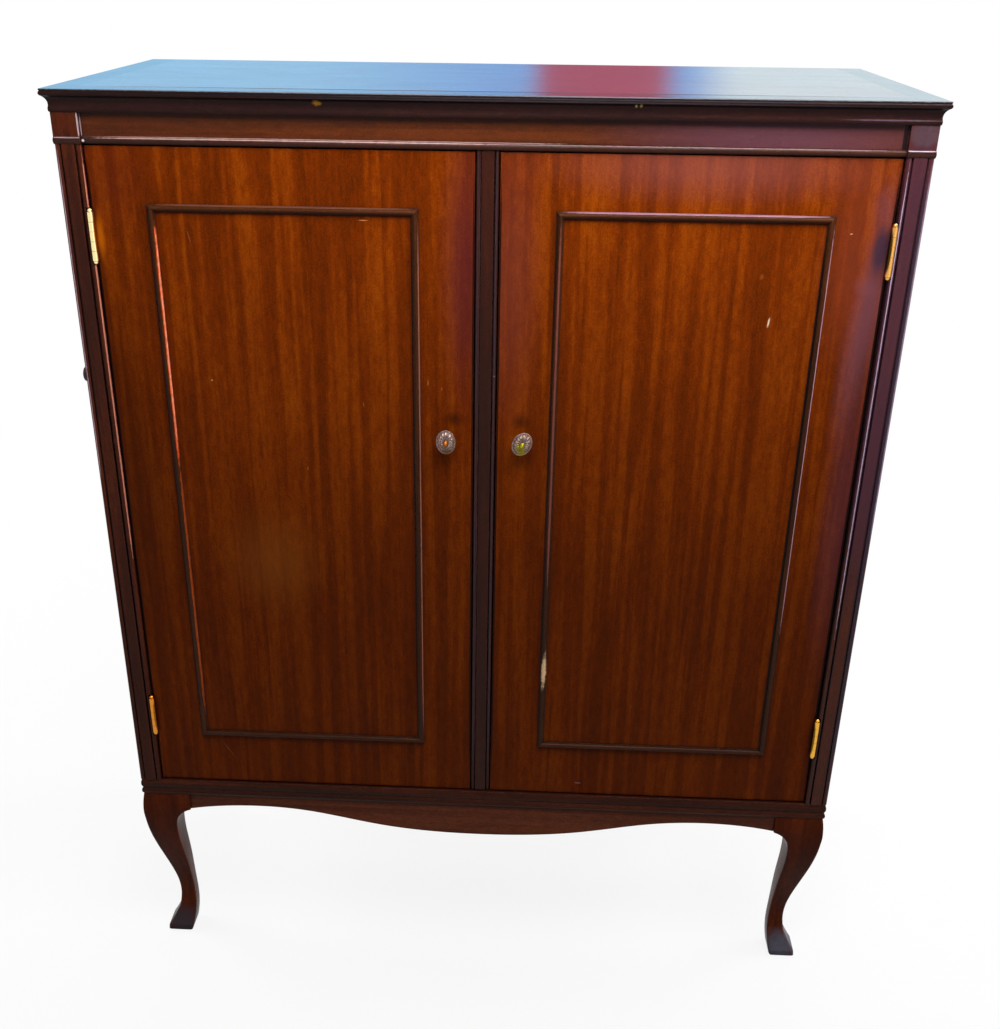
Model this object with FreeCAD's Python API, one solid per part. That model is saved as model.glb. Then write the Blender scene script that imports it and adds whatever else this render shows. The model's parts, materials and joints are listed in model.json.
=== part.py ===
import FreeCAD, Part

# Record cabinet: a framed carcase with two flush doors on butt hinges, on four cabriole legs.
# Millimetres. X runs to the right, Y to the back, Z up. The origin is the centre of the
# overall box at floor level.

import os
from math import copysign, cos, pi, sin, sqrt

V = FreeCAD.Vector
FACE_TOLERANCE = 0.001

# ---------------------------------------------------------------- driving dimensions
# Carcase
BODY_WIDTH = 1000.0          # over the outer faces of the posts
BODY_DEPTH = 450.0           # front face of the front posts to the back of the rear posts
LEG_HEIGHT = 270.0           # floor to the underside of the base rails
BASE_RAIL_HEIGHT = 25.0
DOOR_OPENING = 886.0         # base rails to the frieze rail
FRIEZE_HEIGHT = 35.0         # frieze rail with its bead
CORNICE_HEIGHT = 25.0
POST_WIDTH = 31.0
FRONT_POST_DEPTH = 40.0
REAR_POST_DEPTH = 31.0
POST_BEAD_RADIUS = 3.5       # bead run down each edge of a front post
QUIRK_WIDTH = 1.0            # groove beside a bead
MULLION_WIDTH = 26.4
MULLION_BEAD_RADIUS = 2.5
MULLION_PROUD = 1.0          # in front of the doors' faces

# Top and cornice
CORNICE_OVERHANG = 8.0       # beyond the faces of the posts, at the front and the sides
CORNICE_FLAT = 35.0          # flat top of the moulding, up to the panel
CORNICE_LEDGE = 15.0         # rebate that carries the panel
TOP_PANEL_THICKNESS = 18.0
TOP_BACK_OVERHANG = 6.0
CORNICE_FILLET = 1.2         # height of the square edge over the nosing
CORNICE_FILLET_BACK = 0.7    # behind the crown of the nosing
NOSING_DROP = 2.4            # top to the nosing's upper edge
NOSING_HEIGHT = 4.8
NOSING_PROUD = 1.2
COVE_FOOT = 1.1              # how far the foot of the cove stands out from the posts
COVE_WAIST_OUT = 1.8         # middle of the cove, out from its foot
COVE_WAIST_DROP = 10.5       # and down from the top
FOOT_BEAD_HEIGHT = 5.0
FOOT_BEAD_PROUD = 0.3
FOOT_BEAD_STEP = 0.3         # behind the foot of the cove, underneath

# Frieze bead and post beads
FRIEZE_BEAD_HEIGHT = 8.0
FRIEZE_BEAD_PROUD = 4.0
POST_COLLAR_PROUD = 0.8

# Sides and back
SIDE_RAIL_THICKNESS = 22.0
SIDE_RAIL_SET_BACK = 6.0     # behind the posts' outer faces
SIDE_PANEL_THICKNESS = 8.0
SIDE_PANEL_SET_BACK = 8.0
PANEL_GROOVE = 6.0           # depth of the grooves that hold the side panels
BACK_PANEL_THICKNESS = 6.0
BACK_PANEL_REBATE = 8.0      # lap on the rear posts
BACK_RAIL_THICKNESS = 22.0

# Doors
DOOR_THICKNESS = 20.0
DOOR_SET_BACK = 6.0          # faces behind the posts' faces
DOOR_GAP = 1.5
STOP_GAP = 0.4               # behind a closed door
STOP_THICKNESS = 12.0
STOP_HEIGHT = 40.0
STOP_DROP = 16.0             # how far a stop reaches down behind a door
STRIP_WIDTH = 9.0            # raised moulding on the doors
STRIP_PROUD = 5.0
STRIP_SHOULDER = 1.2
PANEL_MARGIN_SIDE = 66.0     # door edge to the raised moulding
PANEL_MARGIN_TOP = 64.0
PANEL_MARGIN_BOTTOM = 78.0

# Hinges
HINGE_HEIGHT = 57.0
HINGE_TOP_INSET = 102.0      # door top to the middle of the upper hinge
HINGE_BOTTOM_INSET = 111.0
KNUCKLE_COUNT = 5
KNUCKLE_RADIUS = 3.9
KNUCKLE_GAP = 0.3            # between one knuckle and the next
AXIS_BEHIND_POST_FACE = 1.0
LEAF_THICKNESS = 1.6
LEAF_REACH = 20.0            # from the pin's axis to the leaf's far edge
PIN_RADIUS = 1.6
PIN_CLEARANCE = 0.05
TIP_RADIUS = 3.0
TIP_HEIGHT = 4.4             # end of the barrel to the end of the pin's button
RUNNING_GAP = 0.4            # round a knuckle that turns beside wood or leaf
SCREW_HEAD_RADIUS = 3.0
SCREW_SHANK_RADIUS = 1.5
SCREW_LENGTH = 16.0
SCREW_SPACING = 19.0
SCREW_SLOT_WIDTH = 0.8
SCREW_SLOT_DEPTH = 0.6
SCREW_FIT = 0.04

# Knobs and latches
KNOB_EDGE_INSET = 33.0       # door's free edge to the spindle
KNOB_ABOVE_DOOR_FOOT = 539.0
KNOB_HALF_WIDTH = 12.5       # across the oval head
KNOB_HALF_HEIGHT = 15.9      # along it
KNOB_LEAN = {"right": 26.0, "left": 4.0}  # top of the oval head, turned towards the hinges
KNOB_PROJECTION = 26.0
KNOB_RIM_BACK = 16.0         # door face to the back of the rim
KNOB_RIM_THICKNESS = 3.0
KNOB_RIM_BEVEL = 1.4         # how far the rim's two faces lie inside its edge
KNOB_NECK_RADIUS = 5.0
KNOB_NECK_LET_IN = 0.8       # neck into the head
KNOB_NECK_LEDGE = 1.0        # head's back round the neck
KNOB_WAIST_RADIUS = 4.4      # middle of the neck
KNOB_FLARE = 1.5             # from the neck to the rim's back
KNOB_COLLAR_RADIUS = 8.0
KNOB_COLLAR_THICKNESS = 2.5
KNOB_COLLAR_EDGE = 1.5
KNOB_CROWN_RADIUS = 7.6      # middle of the dome between the rim and the boss
KNOB_CROWN_DROP = 1.0        # there, below the foot of the boss
KNOB_BOSS_RADIUS = 3.2
KNOB_BOSS_HEIGHT = 2.6
KNOB_BOSS_EDGE = 0.8
KNOB_FLUTES = 12             # cut into the dome, with petals left between them
FLUTE_RADIUS = 0.9
FLUTE_DEPTH = 0.6
KNOB_RUNNING_GAP = 0.3       # collar to door
SPINDLE_RADIUS = 3.0
SPINDLE_CLEARANCE = 0.08
TONGUE_THICKNESS = 2.5
TONGUE_WIDTH = 13.0
TONGUE_GAP = 0.5             # behind the door and the mullion
TONGUE_TO_PARTITION = 2.5
RIVET_RADIUS = 4.5
RIVET_HEIGHT = 1.5
RIVET_CHAMFER = 0.8

# Base
BASE_RAIL_DEPTH = 40.0
UPPER_REED_SHARE = 0.58      # of the base rail's height
REED_DEPTH = 2.0
APRON_THICKNESS = 18.0
APRON_SET_BACK = 4.0
APRON_END_DROP = 28.0        # below the base rail, at the legs
APRON_ARCH_DROP = 19.0
APRON_ARCH_PLACE = 0.8       # share of the way from the middle to the end
APRON_SHOULDER_DROP = 24.0   # where the arch turns down towards the lobe
APRON_SHOULDER_PLACE = 0.59
APRON_FLANK_RISE = 11.0      # lobe's flank above its lowest point
APRON_FLANK_PLACE = 0.35
APRON_LOBE_DROP = 54.5
SIDE_APRON_LOBE_DROP = 40.0
APRON_EDGE_RADIUS = 2.0
LEG_BLOCK = 70.0             # square top of a leg, out of which the knee is shaped
LEG_EAR_DROP = 26.0
GLUE_BLOCK_SIZE = 18.0
GLUE_BLOCK_LENGTH = 60.0
GLUE_BLOCK_FROM_MIDDLE = 258.0  # centre plane to the far end of a front block

# Cabriole curve: (distance in from the post's face, share of the leg's height above the floor)
KNEE_TOP_IN = 2.0
OUTER_CURVE = [
    (-1.3, 0.870), (5.6, 0.674), (23.0, 0.415), (29.6, 0.230), (25.0, 0.119), (14.5, 0.033)
]
INNER_CURVE = [
    (50.5, 0.848), (45.4, 0.741), (48.6, 0.519), (51.2, 0.296), (52.2, 0.148), (48.6, 0.019)
]
SOLE_BEVEL = 2.0

# Inside
BOTTOM_BOARD_THICKNESS = 15.0
PARTITION_THICKNESS = 12.0
SHELF_THICKNESS = 15.0
SHELF_FRONT = 50.0           # behind the posts' faces
RECORD_BAY_HEIGHT = 330.0    # clear height of the two lower rows
CLEAT_SIZE = 15.0
DIVIDERS_PER_BAY = 4
DIVIDER_THICKNESS = 4.0
DIVIDER_GROOVE = 3.0
DIVIDER_SET_BACK = 20.0      # behind the shelves' front edges
SHELF_BACK_GAP = 1.0

# Back panel screws
BACK_SCREW_HEAD_RADIUS = 3.5
BACK_SCREW_HEAD_HEIGHT = 2.0
BACK_SCREW_TOP_RADIUS = 1.6  # flat in the middle of the head
BACK_SCREW_LENGTH = 18.0
BACK_SCREW_MARGIN = 40.0

# Button on the left side
BUTTON_RADIUS = 9.5
BUTTON_CROWN_RADIUS = 7.0
BUTTON_SHOULDER = 5.5        # how far the crown's foot stands out from the post
BUTTON_FOOT_EDGE = 1.0       # the button's foot lies this far inside its edge
BUTTON_PROJECTION = 7.0
BUTTON_BEHIND_FRONT = 14.0
BUTTON_HEIGHT = 905.0
BUTTON_PEG_RADIUS = 4.0
BUTTON_PEG_LENGTH = 12.0

# ---------------------------------------------------------------- places worked out
FRONT = (KNOB_PROJECTION - DOOR_SET_BACK - BODY_DEPTH - TOP_BACK_OVERHANG) / 2
BACK = FRONT + BODY_DEPTH
SIDE = BODY_WIDTH / 2
BASE_TOP = LEG_HEIGHT + BASE_RAIL_HEIGHT
OPENING_TOP = BASE_TOP + DOOR_OPENING
FRIEZE_TOP = OPENING_TOP + FRIEZE_HEIGHT
TOP = FRIEZE_TOP + CORNICE_HEIGHT
PANEL_UNDERSIDE = TOP - TOP_PANEL_THICKNESS
POST_INNER = SIDE - POST_WIDTH
DOOR_FACE = FRONT + DOOR_SET_BACK
DOOR_BACK = DOOR_FACE + DOOR_THICKNESS
STOP_FACE = DOOR_BACK + STOP_GAP
DOOR_INNER_EDGE = MULLION_WIDTH / 2 + DOOR_GAP
DOOR_OUTER_EDGE = POST_INNER - DOOR_GAP
DOOR_FOOT = BASE_TOP + DOOR_GAP
DOOR_HEAD = OPENING_TOP - DOOR_GAP
AXIS_X = POST_INNER - DOOR_GAP / 2
AXIS_Y = FRONT + AXIS_BEHIND_POST_FACE
HINGE_HEIGHTS = {"upper": DOOR_HEAD - HINGE_TOP_INSET, "lower": DOOR_FOOT + HINGE_BOTTOM_INSET}
SCREW_Y = (DOOR_FACE + AXIS_Y + LEAF_REACH) / 2
LEG_OUTER = [(inward, share * LEG_HEIGHT) for inward, share in OUTER_CURVE]
LEG_INNER = [(inward, share * LEG_HEIGHT) for inward, share in INNER_CURVE]
KNOB_X = DOOR_INNER_EDGE + KNOB_EDGE_INSET
KNOB_Z = DOOR_FOOT + KNOB_ABOVE_DOOR_FOOT
PARTITION_SIDE = PARTITION_THICKNESS / 2
PANEL_OUTER = SIDE - SIDE_PANEL_SET_BACK
PANEL_INNER = PANEL_OUTER - SIDE_PANEL_THICKNESS
BACK_PANEL_FACE = BACK - BACK_PANEL_THICKNESS
BOARD_TOP = BASE_TOP + BOTTOM_BOARD_THICKNESS
SHELF_Y = FRONT + SHELF_FRONT
SHELF_BACK = BACK_PANEL_FACE - SHELF_BACK_GAP
SHELVES = {
    "lower": BOARD_TOP + RECORD_BAY_HEIGHT,
    "upper": BOARD_TOP + 2 * RECORD_BAY_HEIGHT + SHELF_THICKNESS,
}


# ---------------------------------------------------------------- helpers
def box(x0, x1, y0, y1, z0, z1):
    """Box between two corners."""
    return Part.makeBox(x1 - x0, y1 - y0, z1 - z0, V(x0, y0, z0))


def rod(radius, start, end):
    """Cylinder from start to end."""
    return Part.makeCylinder(radius, (end - start).Length, start, end - start)


def cone(radius_start, radius_end, start, end):
    """Cone from start to end."""
    return Part.makeCone(radius_start, radius_end, (end - start).Length, start, end - start)


def outline(place, start, *steps):
    """Closed face. Each step holds the next points: one is a line, two an arc, more a spline."""
    edges, here = [], start
    for step in steps + ((start,),):
        points = [place(*p) for p in (here,) + tuple(step)]
        if len(points) == 2:
            curve = Part.LineSegment(*points)
        elif len(points) == 3:
            curve = Part.Arc(*points)
        else:
            curve = Part.BSplineCurve()
            curve.interpolate(points)
        edges.append(curve.toShape())
        here = step[-1]
    return Part.Face(Part.Wire(edges))


def dome(radius, foot, crown):
    """Arc points of a round cap, from its foot circle to the axis: one on the way, and the crown."""
    rise = crown - foot
    ball = (radius ** 2 + rise ** 2) / (2 * rise)
    halfway = radius / 2
    return (halfway, crown - ball + copysign(sqrt(ball ** 2 - halfway ** 2), ball)), (0, crown)


def in_xy(z):
    """Places (x, y) at height z."""
    return lambda a, b: V(a, b, z)


def in_xz(y):
    """Places (x, z) at depth y."""
    return lambda a, b: V(a, y, b)


def in_yz(x):
    """Places (y, z) at width x."""
    return lambda a, b: V(x, a, b)


def mirrored(shape):
    """The same piece on the other side of the centre plane."""
    return shape.mirror(V(0, 0, 0), V(1, 0, 0))


def joined(shapes):
    """One solid out of pieces that touch or overlap."""
    return shapes[0].fuse(shapes[1:]).removeSplitter()


def save(name, *solids):
    """Writes one node; several solids make a group."""
    whole = solids[0] if len(solids) == 1 else Part.makeCompound(list(solids))
    if not all(s.isValid() for s in solids):
        raise ValueError(name + " is not valid")
    whole.exportStep("parts/" + name + ".step")


def save_pair(name, right):
    """Writes a piece of the right side, and its mirror image for the left side."""
    save(name + "_right", right)
    save(name + "_left", mirrored(right))


# ---------------------------------------------------------------- posts and mullion
def beaded_section(place, width, depth, radius):
    """Plan of an upright with a bead along both front edges; a runs inwards to outwards."""
    quirk = 2 * radius + QUIRK_WIDTH
    return outline(
        place,
        (0, depth),
        ((0, radius),),
        ((radius, 0), (2 * radius, radius)),
        ((quirk, 0),),
        ((width - quirk, 0),),
        ((width - 2 * radius, radius),),
        ((width - radius, 0), (width, radius)),
        ((width, depth),),
    )


def side_panel():
    """Plywood side, held in grooves of both posts and of the side rail."""
    return box(
        PANEL_INNER, PANEL_OUTER,
        FRONT + FRONT_POST_DEPTH - PANEL_GROOVE, BACK - REAR_POST_DEPTH + PANEL_GROOVE,
        BASE_TOP, OPENING_TOP + PANEL_GROOVE,
    )


def front_post():
    """Right front post: beaded up to the frieze, plain block above, let in for the hinges."""
    place = lambda a, b: V(POST_INNER + a, FRONT + b, BASE_TOP)
    beaded = beaded_section(place, POST_WIDTH, FRONT_POST_DEPTH, POST_BEAD_RADIUS)
    shaft = beaded.extrude(V(0, 0, DOOR_OPENING))
    block = box(POST_INNER, SIDE, FRONT, FRONT + FRONT_POST_DEPTH, OPENING_TOP, FRIEZE_TOP)
    post = joined([shaft, block]).cut(side_panel())
    for height in HINGE_HEIGHTS.values():
        post = post.cut([leaf_plate(1, height), knuckle_recess(height)] + shanks(1, height))
    return post


def rear_post():
    """Right rear post, rebated for the back panel."""
    post = box(POST_INNER, SIDE, BACK - REAR_POST_DEPTH, BACK, BASE_TOP, FRIEZE_TOP)
    return post.cut([side_panel(), back_panel_board()] + back_screw_shanks())


def mullion():
    """Fixed upright between the doors."""
    face = DOOR_FACE - MULLION_PROUD
    place = lambda a, b: V(a - MULLION_WIDTH / 2, face + b, BASE_TOP)
    section = beaded_section(place, MULLION_WIDTH, DOOR_BACK - face, MULLION_BEAD_RADIUS)
    return section.extrude(V(0, 0, DOOR_OPENING))


# ---------------------------------------------------------------- top, cornice and frieze
def cornice_section(place):
    """Cornice board: nose, quirk, bead, cove, small foot bead, and a ledge for the panel."""
    nose = CORNICE_OVERHANG
    high = CORNICE_HEIGHT
    edge = nose - CORNICE_FILLET_BACK
    nosing = high - NOSING_DROP
    nosing_foot = nosing - NOSING_HEIGHT
    inner = nose - CORNICE_FLAT
    ledge = inner - CORNICE_LEDGE
    rebate = high - TOP_PANEL_THICKNESS
    return outline(
        place,
        (ledge, 0),
        ((COVE_FOOT - FOOT_BEAD_STEP, 0),),
        ((COVE_FOOT + FOOT_BEAD_PROUD, FOOT_BEAD_HEIGHT / 2), (COVE_FOOT, FOOT_BEAD_HEIGHT)),
        ((COVE_FOOT + COVE_WAIST_OUT, high - COVE_WAIST_DROP), (nose - NOSING_PROUD, nosing_foot)),
        ((nose, (nosing + nosing_foot) / 2), (nose - NOSING_PROUD, nosing)),
        ((edge, high - CORNICE_FILLET),),
        ((edge, high),),
        ((inner, high),),
        ((inner, rebate),),
        ((ledge, rebate),),
    )


def mitre_front(outer, depth, z0, z1):
    """Prism of a front board with mitred ends; outer is the overhang of its front corners."""
    wide, near = SIDE + outer, FRONT - outer
    plan = outline(
        in_xy(z0), (-wide, near), ((wide, near),),
        ((wide - depth, near + depth),), ((-wide + depth, near + depth),),
    )
    return plan.extrude(V(0, 0, z1 - z0))


def mitre_side(outer, depth, rear, z0, z1):
    """Prism of a right-hand board mitred at the front and square at the back."""
    wide, near = SIDE + outer, FRONT - outer
    plan = outline(
        in_xy(z0), (wide, near), ((wide, rear),),
        ((wide - depth, rear),), ((wide - depth, near + depth),),
    )
    return plan.extrude(V(0, 0, z1 - z0))


def run_along_x(section, reach):
    """Board along X from a section drawn as (outwards, up), facing the front."""
    face = section(lambda a, b: V(-reach, FRONT - a, b))
    return face.extrude(V(2 * reach, 0, 0))


def run_along_y(section, start, end):
    """Board along Y from the same section, facing right."""
    face = section(lambda a, b: V(SIDE + a, start, b))
    return face.extrude(V(0, end - start, 0))


def cornice():
    """Front and right-hand cornice boards."""
    wide = CORNICE_OVERHANG
    depth = CORNICE_FLAT + CORNICE_LEDGE
    rear = BACK + TOP_BACK_OVERHANG
    section = lambda place: cornice_section(lambda a, b: place(a, b + FRIEZE_TOP))
    front = run_along_x(section, SIDE + wide).common(mitre_front(wide, depth, FRIEZE_TOP, TOP))
    side = run_along_y(section, FRONT - wide, rear).common(
        mitre_side(wide, depth, rear, FRIEZE_TOP, TOP)
    )
    return front, side


def top_panel():
    """Flat top, lying in the cornice's rebate."""
    edge = SIDE + CORNICE_OVERHANG - CORNICE_FLAT
    near = FRONT - CORNICE_OVERHANG + CORNICE_FLAT
    return box(-edge, edge, near, BACK + TOP_BACK_OVERHANG, PANEL_UNDERSIDE, TOP)


def half_round(place, width, proud):
    """Section of a bead: flat back of the given width on b, crown standing out along a."""
    return outline(place, (0, 0), ((proud, width / 2), (0, width)))


def frieze_rail():
    """Rail over the doors, set back between the post blocks."""
    return box(-POST_INNER, POST_INNER, DOOR_FACE, STOP_FACE, OPENING_TOP, FRIEZE_TOP)


def frieze_bead():
    """Astragal along the foot of the frieze rail."""
    place = lambda a, b: V(-POST_INNER, DOOR_FACE - a, OPENING_TOP + b)
    return half_round(place, FRIEZE_BEAD_HEIGHT, FRIEZE_BEAD_PROUD).extrude(V(2 * POST_INNER, 0, 0))


def post_collar():
    """Bead round the front and the outer face of the right post."""
    section = lambda place: half_round(
        lambda a, b: place(a, b + OPENING_TOP), FRIEZE_BEAD_HEIGHT, POST_COLLAR_PROUD
    )
    top = OPENING_TOP + FRIEZE_BEAD_HEIGHT
    proud = POST_COLLAR_PROUD
    corner = mitre_front(proud, POST_WIDTH + proud, OPENING_TOP, top)
    front = run_along_x(section, SIDE + proud).common(corner)
    front = front.common(box(POST_INNER, SIDE + proud, FRONT - proud, FRONT, OPENING_TOP, top))
    rear = FRONT + FRONT_POST_DEPTH
    side = run_along_y(section, FRONT - proud, rear)
    side = side.common(mitre_side(proud, POST_WIDTH + proud, rear, OPENING_TOP, top))
    return joined([front, side])


# ---------------------------------------------------------------- sides and back
def side_top_rail():
    """Rail between the posts over the right side panel."""
    outer = SIDE - SIDE_RAIL_SET_BACK
    rail = box(
        outer - SIDE_RAIL_THICKNESS, outer,
        FRONT + FRONT_POST_DEPTH, BACK - REAR_POST_DEPTH, OPENING_TOP, FRIEZE_TOP,
    )
    return rail.cut(side_panel())


def back_top_rail():
    """Rail between the rear posts, under the top panel, notched round the cornice's ledges."""
    rail = box(
        -POST_INNER, POST_INNER,
        BACK_PANEL_FACE - BACK_RAIL_THICKNESS, BACK_PANEL_FACE, OPENING_TOP, PANEL_UNDERSIDE,
    )
    side = cornice()[1]
    return rail.cut([side, mirrored(side)])


def back_panel_board():
    """Plywood back before its screw holes, lapped on the rear posts."""
    edge = POST_INNER + BACK_PANEL_REBATE
    return box(-edge, edge, BACK_PANEL_FACE, BACK, BASE_TOP, FRIEZE_TOP)


def back_screw_places():
    """(x, z) of the screws in the posts and the partition."""
    low, high = BASE_TOP + BACK_SCREW_MARGIN, OPENING_TOP - BACK_SCREW_MARGIN
    lower, upper = (SHELVES[name] + SHELF_THICKNESS / 2 for name in ("lower", "upper"))
    rows = (low, (BOARD_TOP + lower) / 2, lower, (lower + upper) / 2, upper, high)
    lap = POST_INNER + BACK_PANEL_REBATE / 2
    return [(x, z) for x in (-lap, 0.0, lap) for z in rows]


def back_screw_shanks():
    """Shanks of the back panel's screws."""
    end = BACK - BACK_SCREW_LENGTH
    return [rod(SCREW_SHANK_RADIUS, V(x, BACK, z), V(x, end, z)) for x, z in back_screw_places()]


def back_screws():
    """Round-headed screws in the back panel."""
    screws = []
    for (x, z), shank in zip(back_screw_places(), back_screw_shanks()):
        head = cone(
            BACK_SCREW_HEAD_RADIUS, BACK_SCREW_TOP_RADIUS,
            V(x, BACK, z), V(x, BACK + BACK_SCREW_HEAD_HEIGHT, z),
        )
        slot = box(
            x - BACK_SCREW_HEAD_RADIUS, x + BACK_SCREW_HEAD_RADIUS,
            BACK + BACK_SCREW_HEAD_HEIGHT - SCREW_SLOT_DEPTH, BACK + BACK_SCREW_HEAD_HEIGHT,
            z - SCREW_SLOT_WIDTH / 2, z + SCREW_SLOT_WIDTH / 2,
        )
        screws.append(joined([head, shank]).cut(slot))
    return screws


# ---------------------------------------------------------------- base, aprons and legs
def reeded_section(place):
    """Base rail: two reeds, one over the other, on its outer face."""
    split = BASE_RAIL_HEIGHT * (1 - UPPER_REED_SHARE)
    return outline(
        place,
        (-BASE_RAIL_DEPTH, 0),
        ((-REED_DEPTH, 0),),
        ((0, split / 2), (-REED_DEPTH, split)),
        ((0, (split + BASE_RAIL_HEIGHT) / 2), (-REED_DEPTH, BASE_RAIL_HEIGHT)),
        ((-BASE_RAIL_DEPTH, BASE_RAIL_HEIGHT),),
    )


def base_rails():
    """Reeded front and right-hand rails, and the plain back rail."""
    section = lambda place: reeded_section(lambda a, b: place(a, b + LEG_HEIGHT))
    front = run_along_x(section, SIDE).common(
        mitre_front(0, BASE_RAIL_DEPTH, LEG_HEIGHT, BASE_TOP)
    )
    side = run_along_y(section, FRONT, BACK).common(
        mitre_side(0, BASE_RAIL_DEPTH, BACK, LEG_HEIGHT, BASE_TOP)
    )
    inner = SIDE - BASE_RAIL_DEPTH
    back = box(-inner, inner, BACK - BASE_RAIL_DEPTH, BACK, LEG_HEIGHT, BASE_TOP)
    return front, side, back


def apron(place, start, end, lobe_drop, thickness):
    """Shaped apron: an arch by each leg and a lobe hanging in the middle."""
    middle, half = (start + end) / 2, (end - start) / 2
    right = [
        (0, lobe_drop),
        (APRON_FLANK_PLACE, lobe_drop - APRON_FLANK_RISE),
        (APRON_SHOULDER_PLACE, APRON_SHOULDER_DROP),
        (APRON_ARCH_PLACE, APRON_ARCH_DROP),
    ]
    drops = [(-share, drop) for share, drop in right[:0:-1]] + right
    curve = [(middle + share * half, LEG_HEIGHT - drop) for share, drop in drops]
    foot = LEG_HEIGHT - APRON_END_DROP
    face = outline(
        place, (start, LEG_HEIGHT), ((start, foot),), tuple(curve) + ((end, foot),),
        ((end, LEG_HEIGHT),),
    )
    board = face.extrude(thickness)
    near = FACE_TOLERANCE
    curved = [e for e in board.Edges if e.Curve.TypeId == "Part::GeomBSplineCurve"]
    on_face = [e for e in curved if face.distToShape(e)[0] < near]
    outer = [e for e in on_face if face.isInside(e.CenterOfMass, near, True)]
    return board.makeFillet(APRON_EDGE_RADIUS, outer)


def aprons():
    """Front apron, right-hand apron and plain back apron."""
    near = FRONT + APRON_SET_BACK
    reach = SIDE - LEG_BLOCK
    front = apron(in_xz(near), -reach, reach, APRON_LOBE_DROP, V(0, APRON_THICKNESS, 0))
    side = apron(
        in_yz(SIDE - APRON_SET_BACK), FRONT + LEG_BLOCK, BACK - LEG_BLOCK,
        SIDE_APRON_LOBE_DROP, V(-APRON_THICKNESS, 0, 0),
    )
    rear = BACK - APRON_SET_BACK
    back = box(
        -reach, reach, rear - APRON_THICKNESS, rear, LEG_HEIGHT - APRON_END_DROP, LEG_HEIGHT
    )
    return front, side, back


def leg_template(place):
    """Cabriole outline; a is the distance in from the post's face, b the height."""
    ear = LEG_HEIGHT - LEG_EAR_DROP
    toe, heel = LEG_OUTER[-1], LEG_INNER[-1]
    return outline(
        place,
        (KNEE_TOP_IN, LEG_HEIGHT),
        tuple(LEG_OUTER),
        ((toe[0], SOLE_BEVEL),),
        ((toe[0] + SOLE_BEVEL, 0),),
        ((heel[0] - SOLE_BEVEL, 0),),
        (heel,),
        tuple(LEG_INNER[-2::-1]) + ((LEG_BLOCK, ear),),
        ((LEG_BLOCK, LEG_HEIGHT),),
    )


def front_leg():
    """Right front leg: the same curve cut on two faces of a square block."""
    across = leg_template(lambda a, b: V(SIDE - a, FRONT - LEG_BLOCK, b))
    along = leg_template(lambda a, b: V(SIDE - 2 * LEG_BLOCK, FRONT + a, b))
    prism_across = across.extrude(V(0, 3 * LEG_BLOCK, 0))
    prism_along = along.extrude(V(3 * LEG_BLOCK, 0, 0))
    return prism_across.common(prism_along)


def rear_of(front):
    """The front leg turned to the back."""
    return front.mirror(V(0, (FRONT + BACK) / 2, 0), V(0, 1, 0))


def glue_blocks():
    """Blocks in the corner between the front apron, the side aprons and the base rails."""
    size, length = GLUE_BLOCK_SIZE, GLUE_BLOCK_LENGTH
    low = LEG_HEIGHT - size
    near = FRONT + APRON_SET_BACK + APRON_THICKNESS
    inner = SIDE - APRON_SET_BACK - APRON_THICKNESS
    half = GLUE_BLOCK_FROM_MIDDLE
    middle = (FRONT + BACK - length) / 2
    right = [
        box(half - length, half, near, near + size, low, LEG_HEIGHT),
        box(inner - size, inner, middle, middle + length, low, LEG_HEIGHT),
    ]
    return right + [mirrored(block) for block in right]


# ---------------------------------------------------------------- inside
def bottom_board():
    """Floor of the cabinet, notched round the posts; its front edge is the lower door stop."""
    board = box(-PANEL_INNER, PANEL_INNER, STOP_FACE, BACK_PANEL_FACE, BASE_TOP, BOARD_TOP)
    corners = []
    for x0, x1 in ((-SIDE, -POST_INNER), (POST_INNER, SIDE)):
        corners.append(box(x0, x1, FRONT, FRONT + FRONT_POST_DEPTH, BASE_TOP, BOARD_TOP))
        corners.append(box(x0, x1, BACK - REAR_POST_DEPTH, BACK, BASE_TOP, BOARD_TOP))
    return board.cut(corners + dividers(1) + dividers(-1))


def partition():
    """Centre partition behind the mullion."""
    board = box(
        -PARTITION_SIDE, PARTITION_SIDE, STOP_FACE, BACK_PANEL_FACE, BOARD_TOP, PANEL_UNDERSIDE
    )
    return board.cut([back_top_rail(), cornice()[0]] + back_screw_shanks())


def shelf(height):
    """Right-hand shelf with its top at the given height plus the shelf's thickness."""
    board = box(PARTITION_SIDE, PANEL_INNER, SHELF_Y, SHELF_BACK, height, height + SHELF_THICKNESS)
    notch = box(
        POST_INNER - SHELF_BACK_GAP, SIDE, BACK - REAR_POST_DEPTH - SHELF_BACK_GAP, BACK,
        height, height + SHELF_THICKNESS,
    )
    return board.cut([notch] + dividers(1))


def cleats():
    """Shelf cleats on the side panels and the partition."""
    near, far = SHELF_Y, BACK - REAR_POST_DEPTH - SHELF_BACK_GAP
    right = []
    for height in SHELVES.values():
        for x0 in (PARTITION_SIDE, PANEL_INNER - CLEAT_SIZE):
            right.append(box(x0, x0 + CLEAT_SIZE, near, far, height - CLEAT_SIZE, height))
    return right + [mirrored(cleat) for cleat in right]


def dividers(side):
    """Thin boards between the records, in grooves above and below, in the two lower rows."""
    floors = [BOARD_TOP, SHELVES["lower"] + SHELF_THICKNESS]
    near = SHELF_Y + DIVIDER_SET_BACK
    pitch = (PANEL_INNER - PARTITION_SIDE) / (DIVIDERS_PER_BAY + 1)
    boards = []
    for floor in floors:
        for i in range(DIVIDERS_PER_BAY):
            x = PARTITION_SIDE + (i + 1) * pitch - DIVIDER_THICKNESS / 2
            board = box(
                x, x + DIVIDER_THICKNESS, near, SHELF_BACK,
                floor - DIVIDER_GROOVE, floor + RECORD_BAY_HEIGHT + DIVIDER_GROOVE,
            )
            boards.append(board if side > 0 else mirrored(board))
    return boards


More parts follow.
